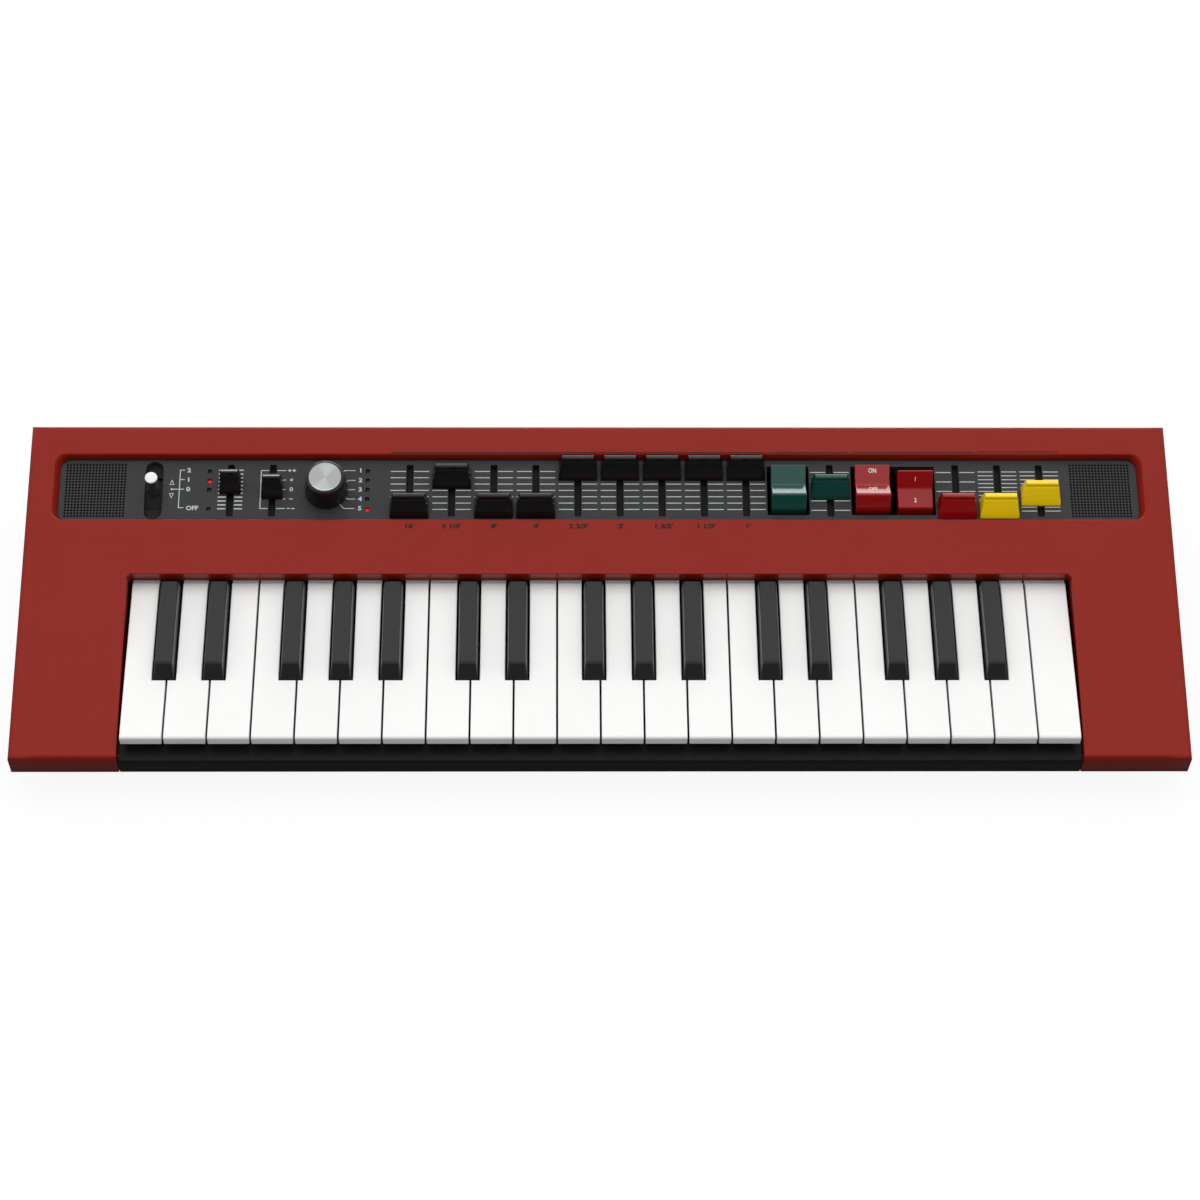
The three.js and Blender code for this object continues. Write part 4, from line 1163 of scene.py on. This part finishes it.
# Rubber feet
# Four round feet of dark rubber, each pressed over a stub of the tub, with a soft rolled edge
# and a shallow dish in the middle of its sole.
foot_profile = (
    (0.0, 0.55), (3.4, 0.55), (3.9, 0.05), (4.3, 0.0), (6.3, 0.0), (6.9, 0.2), (7.2, 0.75),
    (7.25, 2.98), (0.0, 2.98),
)
foot_x = 240.0
foot_y = (-51.77, 67.05)
rubber_black = moulded_plastic(
    "dull_rubber_black", (0.016, 0.016, 0.016), 0.8, grain=0.05, speckle=1500.0, specular=0.3,
)
foot_places = [Matrix.Translation((x, y, 0)) for x in (-foot_x, foot_x) for y in foot_y]
feet = bmesh.new()
add_turned(feet, foot_profile, foot_places, 40)
finished("rubber_feet", feet, in_metres, rubber_black, "root", [], 35.0)

# Screws
# Ten cross-head screws of blackened steel sit in wells of the base and hold the two halves of
# the case together.
screw_shares = (-0.84, -0.42, 0.0, 0.42, 0.84)
tub_half_width = 253.0
screw_y = (-40.77, 56.05)
well_floor = 4.2
screw_head_radius = 2.9
screw_head_edge = -0.35
screw_head_foot = -1.0
cross_half_width = 0.38
cross_reach = 1.55
cross_depth = 0.7


def bare_metal(name, colour, roughness):
    """Plated metal with a fine, slightly clouded brush in its shine."""
    finish, nodes, links, shader = new_finish(name)
    shader.inputs["Metallic"].default_value = 1.0
    shader.inputs["Base Color"].default_value = (*colour, 1.0)
    cloud = noise(nodes, links, 700.0, 4.0)
    uneven_gloss(nodes, links, shader, cloud, (0.0, 1.0), (roughness * 0.7, roughness * 1.3))
    raised(nodes, links, shader, cloud, 0.2, 0.01)
    return finish


screw = bmesh.new()
bmesh.ops.create_grid(screw, x_segments=1, y_segments=1, size=cross_reach)
for direction in (Vector((1, 0, 0)), Vector((0, 1, 0))):
    score(screw, direction, (-cross_half_width, cross_half_width))
outer = [edge for edge in screw.edges if edge.is_boundary]
bmesh.ops.subdivide_edges(screw, edges=outer, cuts=1)
outer = [edge for edge in screw.edges if edge.is_boundary]
rim = bmesh.ops.create_circle(screw, cap_ends=False, segments=24, radius=screw_head_radius - 0.5)
rim_edges = {edge for vert in rim["verts"] for edge in vert.link_edges}
bmesh.ops.bridge_loops(screw, edges=outer + list(rim_edges))
border = list(rim_edges)
for height in (screw_head_edge, screw_head_foot):
    ends = extruded(screw, border)
    for vert in ends:
        vert.co = (*(vert.co.xy.normalized() * screw_head_radius), height)
    border = [edge for edge in screw.edges if edge.is_boundary and set(edge.verts) <= set(ends)]
cross = []
for face in screw.faces:
    middle = face.calc_center_median()
    inside = max(abs(middle.x), abs(middle.y)) < cross_reach
    if inside and min(abs(middle.x), abs(middle.y)) < cross_half_width and abs(middle.z) < 0.01:
        cross.append(face)
bmesh.ops.translate(screw, vec=(0, 0, -cross_depth), verts=pushed_out(screw, cross))
bmesh.ops.delete(screw, geom=cross, context="FACES_ONLY")
bmesh.ops.recalc_face_normals(screw, faces=screw.faces)
screws = bmesh.new()
for index, share in enumerate(screw_shares):
    for y in screw_y:
        place = Matrix.Translation((share * tub_half_width, y, well_floor - 0.99))
        spin_of_head = Matrix.Rotation(0.5 * index + 0.02 * y, 4, "Z")
        add_copy(screws, screw, place @ Matrix.Rotation(pi, 4, "X") @ spin_of_head)
screw.free()
screw_steel = bare_metal("blackened_steel", (0.09, 0.088, 0.085), 0.38)
finished("case_screws", screws, in_metres, screw_steel, "root", [], 30.0)

# Connectors and switch
# Quarter-inch jacks with nickel nuts on threaded bushes and black linings, a small jack, two
# data sockets with plated shells, the power inlet with its pin, and the power switch's button.
connector_z = 21.0
jack_reach = 7.3
wall_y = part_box("bottom_case")[1].y / MM - jack_reach
jack_shares = (-0.86, -0.73, -0.6, -0.34)
small_jack_share = -0.2
round_socket_share = 0.3
square_socket_share = 0.46
inlet_share = 0.68
switch_share = 0.86
thread_pitch = 0.75


def rear_place(share):
    """A connector's place on the rear wall, with its Z axis pointing out to the rear."""
    spot = Matrix.Translation((share * tub_half_width, wall_y, connector_z))
    return spot @ Matrix.Rotation(-pi / 2, 4, "X")


nut_radius = 7.62
nut_height = 2.7
nut_middle = 1.25
nut_wall = 2.0
square_shell_half = (4.27, 3.92, 1.0)
square_shell_wall = 0.35
shell_depth = 5.0
bush_profile = [(3.45, 5.4), (3.2, 5.7), (3.2, 7.05), (3.45, 7.36), (4.6, 7.36), (5.02, 7.1)]
for turn_of_thread in range(6):
    height = 6.9 - turn_of_thread * thread_pitch
    bush_profile += [(5.28, height - 0.1), (5.28, height - 0.22), (5.06, height - 0.55)]
bush_profile += [(5.06, 0.2)]
small_bush_profile = (
    (1.72, -5.0), (1.72, 1.05), (1.95, 1.32), (2.9, 1.32), (3.27, 1.0), (3.27, -0.1),
)
shell_profile = ((4.36, -5.0), (4.36, 0.1), (4.2, 0.25), (3.98, 0.1), (3.98, -5.0))
pin_profile = ((1.04, -8.0), (1.04, -1.25), (0.8, -0.97), (0.0, -0.9))
nickel = bare_metal("nickel_plate", (0.66, 0.64, 0.60), 0.24)
metal = bmesh.new()
nut = bmesh.new()
bmesh.ops.create_cone(
    nut, cap_ends=True, cap_tris=False, segments=6, radius1=nut_radius, radius2=nut_radius,
    depth=nut_height, matrix=Matrix.Translation((0, 0, nut_middle)),
)
shoulder = [edge for edge in nut.edges if all(vert.co.z > 2.5 for vert in edge.verts)]
rounded(nut, shoulder, 0.45, 2)
nut_ends = [face for face in nut.faces if face.calc_area() > 100.0]
bmesh.ops.inset_individual(nut, faces=nut_ends, thickness=nut_wall)
bmesh.ops.delete(nut, geom=nut_ends, context="FACES_ONLY")
jack_places = [rear_place(share) for share in jack_shares]
for place in jack_places:
    add_copy(metal, nut, place)
    add_turned(metal, bush_profile, [place], 40)
nut.free()
add_turned(metal, small_bush_profile, [rear_place(small_jack_share)], 32)
add_turned(metal, shell_profile, [rear_place(round_socket_share)], 40)
add_turned(metal, pin_profile, [rear_place(inlet_share)], 20)
square_shell = bmesh.new()
bmesh.ops.create_grid(square_shell, x_segments=1, y_segments=1, size=1.0)
bmesh.ops.scale(square_shell, vec=square_shell_half, verts=square_shell.verts)
mouth = square_shell.faces[:]
bmesh.ops.inset_individual(square_shell, faces=mouth, thickness=square_shell_wall)
lips = mouth[0].edges[:]
bmesh.ops.delete(square_shell, geom=mouth, context="FACES_ONLY")
bmesh.ops.translate(square_shell, vec=(0, 0, -shell_depth), verts=extruded(square_shell, lips))
bmesh.ops.translate(square_shell, vec=(0, 0, 0.06), verts=square_shell.verts)
add_copy(metal, square_shell, rear_place(square_socket_share))
square_shell.free()
bmesh.ops.recalc_face_normals(metal, faces=metal.faces)
finished("connector_metal", metal, in_metres, nickel, "root", [], 28.0)

switch_profile = ((3.72, -0.2), (3.72, 1.8), (3.5, 2.12), (3.0, 2.26), (1.6, 2.22), (0.0, 2.1))
surround_profile = ((3.9, -0.1), (3.9, 0.35), (4.05, 0.5), (4.75, 0.5), (4.95, 0.3), (4.95, -0.1))
jack_lining_profile = ((0.0, -6.5), (3.2, -6.5), (3.2, 5.7), (3.44, 5.5), (3.44, -6.9), (0.0, -6.9))
inlet_rim_profile = (
    (3.08, -2.0), (3.08, 0.35), (3.25, 0.55), (4.4, 0.55), (4.6, 0.35), (4.6, -0.1),
)
plastics = bmesh.new()
add_turned(plastics, switch_profile, [rear_place(switch_share)], 40)
add_turned(plastics, surround_profile, [rear_place(switch_share)], 40)
add_turned(plastics, inlet_rim_profile, [rear_place(inlet_share)], 40)
add_turned(plastics, jack_lining_profile, jack_places, 40)
socket_black = moulded_plastic(
    "satin_socket_black", (0.011, 0.011, 0.012), 0.34, grain=0.01, speckle=900.0,
)
finished("connector_plastic", plastics, in_metres, socket_black, "root", [], 30.0)

# Table, light and view
# The organ stands on a plain white table under broad soft lamps, one overhead, one in front and
# a low strip behind, and is seen from the front and above with a long lens.
table_half = 6.0
table_tone = 0.11
table_lift = 0.89
table_mirrored = 0.02
table = bmesh.new()
bmesh.ops.create_grid(table, x_segments=1, y_segments=1, size=table_half)
table_mesh = bpy.data.meshes.new("table")
table.to_mesh(table_mesh)
table.free()
table_top = bpy.data.objects.new("table", table_mesh)
bpy.context.scene.collection.objects.link(table_top)
table_white, table_nodes, table_links, table_shader = new_finish("table_white")
table_shader.inputs["Base Color"].default_value = (table_tone, table_tone, table_tone, 1.0)
table_shader.inputs["Roughness"].default_value = 0.9
table_shader.inputs["Specular IOR Level"].default_value = 0.0
table_shader.inputs["Emission Color"].default_value = (1.0, 1.0, 1.0, 1.0)


def seen_straight(nodes, links):
    """Is 1 where the table or the sky is seen straight on or through glass, or else 0."""
    rays = nodes.new("ShaderNodeLightPath").outputs
    return worked_out(nodes, links, "MAXIMUM", rays["Is Camera Ray"], rays["Is Transmission Ray"])


lift = worked_out(
    table_nodes, table_links, "MULTIPLY", seen_straight(table_nodes, table_links), table_lift,
)
mirrored = table_nodes.new("ShaderNodeLightPath").outputs["Is Glossy Ray"]
glow = worked_out(table_nodes, table_links, "MULTIPLY_ADD", mirrored, table_mirrored, lift)
table_links.new(glow, table_shader.inputs["Emission Strength"])
table_mesh.materials.append(table_white)

world = bpy.data.worlds.new("studio")
bpy.context.scene.world = world
world.use_nodes = True
sky_nodes = world.node_tree.nodes
sky_links = world.node_tree.links
sky = sky_nodes["Background"]
sky.inputs["Color"].default_value = (1.0, 1.0, 1.0, 1.0)
direction = sky_nodes.new("ShaderNodeTexCoord")
parts = sky_nodes.new("ShaderNodeSeparateXYZ")
sky_links.new(direction.outputs["Generated"], parts.inputs["Vector"])
rear_glow = sky_nodes.new("ShaderNodeValToRGB")
rear_glow.color_ramp.interpolation = "B_SPLINE"
stops = rear_glow.color_ramp.elements
stops[0].position = 0.0
stops[0].color = (0.05, 0.05, 0.05, 1.0)
stops[1].position = 1.0
stops[1].color = (2.4, 2.4, 2.4, 1.0)
glow_stops = ((0.15, 0.07), (0.28, 0.85), (0.45, 0.66), (0.65, 0.58), (0.79, 0.72), (0.9, 1.4))
for place, strength in glow_stops:
    stops.new(place).color = (strength, strength, strength, 1.0)
to_rear = worked_out(sky_nodes, sky_links, "MULTIPLY_ADD", parts.outputs["Y"], 0.5, 0.5)
sky_links.new(to_rear, rear_glow.inputs["Fac"])
level = sky_nodes.new("ShaderNodeMix")
level.inputs["B"].default_value = 1.0
sky_links.new(seen_straight(sky_nodes, sky_links), level.inputs["Factor"])
sky_links.new(rear_glow.outputs["Color"], level.inputs["A"])
sky_links.new(level.outputs["Result"], sky.inputs["Strength"])


def soft_lamp(name, size, power, place, tilt, mirrored):
    """A rectangular lamp, which shiny surfaces may mirror or not."""
    lamp = bpy.data.lights.new(name, "AREA")
    lamp.shape = "RECTANGLE"
    lamp.size, lamp.size_y = size
    lamp.energy = power
    holder = bpy.data.objects.new(name, lamp)
    holder.location = place
    holder.rotation_euler = tilt
    holder.visible_glossy = mirrored
    bpy.context.scene.collection.objects.link(holder)


front_tilt = atan2(1.55, 1.95)
rear_tilt = atan2(2.4, 0.55)
soft_lamp("overhead", (1.6, 1.0), 9.3, (0.0, 0.35, 1.5), (-0.22, 0.0, 0.0), False)
soft_lamp("front_fill", (1.6, 0.8), 14.6, (0.0, -1.55, 1.95), (front_tilt, 0.0, 0.0), False)
soft_lamp("rear_strip", (2.4, 0.4), 12.0, (0.0, 2.4, 0.55), (rear_tilt, 0.0, pi), True)

photo_pixels = 1200
lens_pixels = 3579.3353
camera_on_deck = Matrix.Translation((-18.595, -748.923, 1456.783))
camera_turn = (
    Matrix.Rotation(radians(-0.2975), 4, "Z")
    @ Matrix.Rotation(radians(-0.5803), 4, "Y")
    @ Matrix.Rotation(radians(27.0156), 4, "X")
)
camera_data = bpy.data.cameras.new("photo_camera")
camera_data.sensor_width = 36.0
camera_data.lens = 36.0 * lens_pixels / photo_pixels
camera_data.clip_end = 20.0
camera = bpy.data.objects.new("photo_camera", camera_data)
camera.matrix_world = (
    Matrix.Translation(on_deck @ camera_on_deck.translation)
    @ Matrix.Rotation(deck_slope, 4, "X")
    @ camera_turn
)
bpy.context.scene.collection.objects.link(camera)
bpy.context.scene.camera = camera
bpy.context.scene.view_settings.view_transform = "Standard"
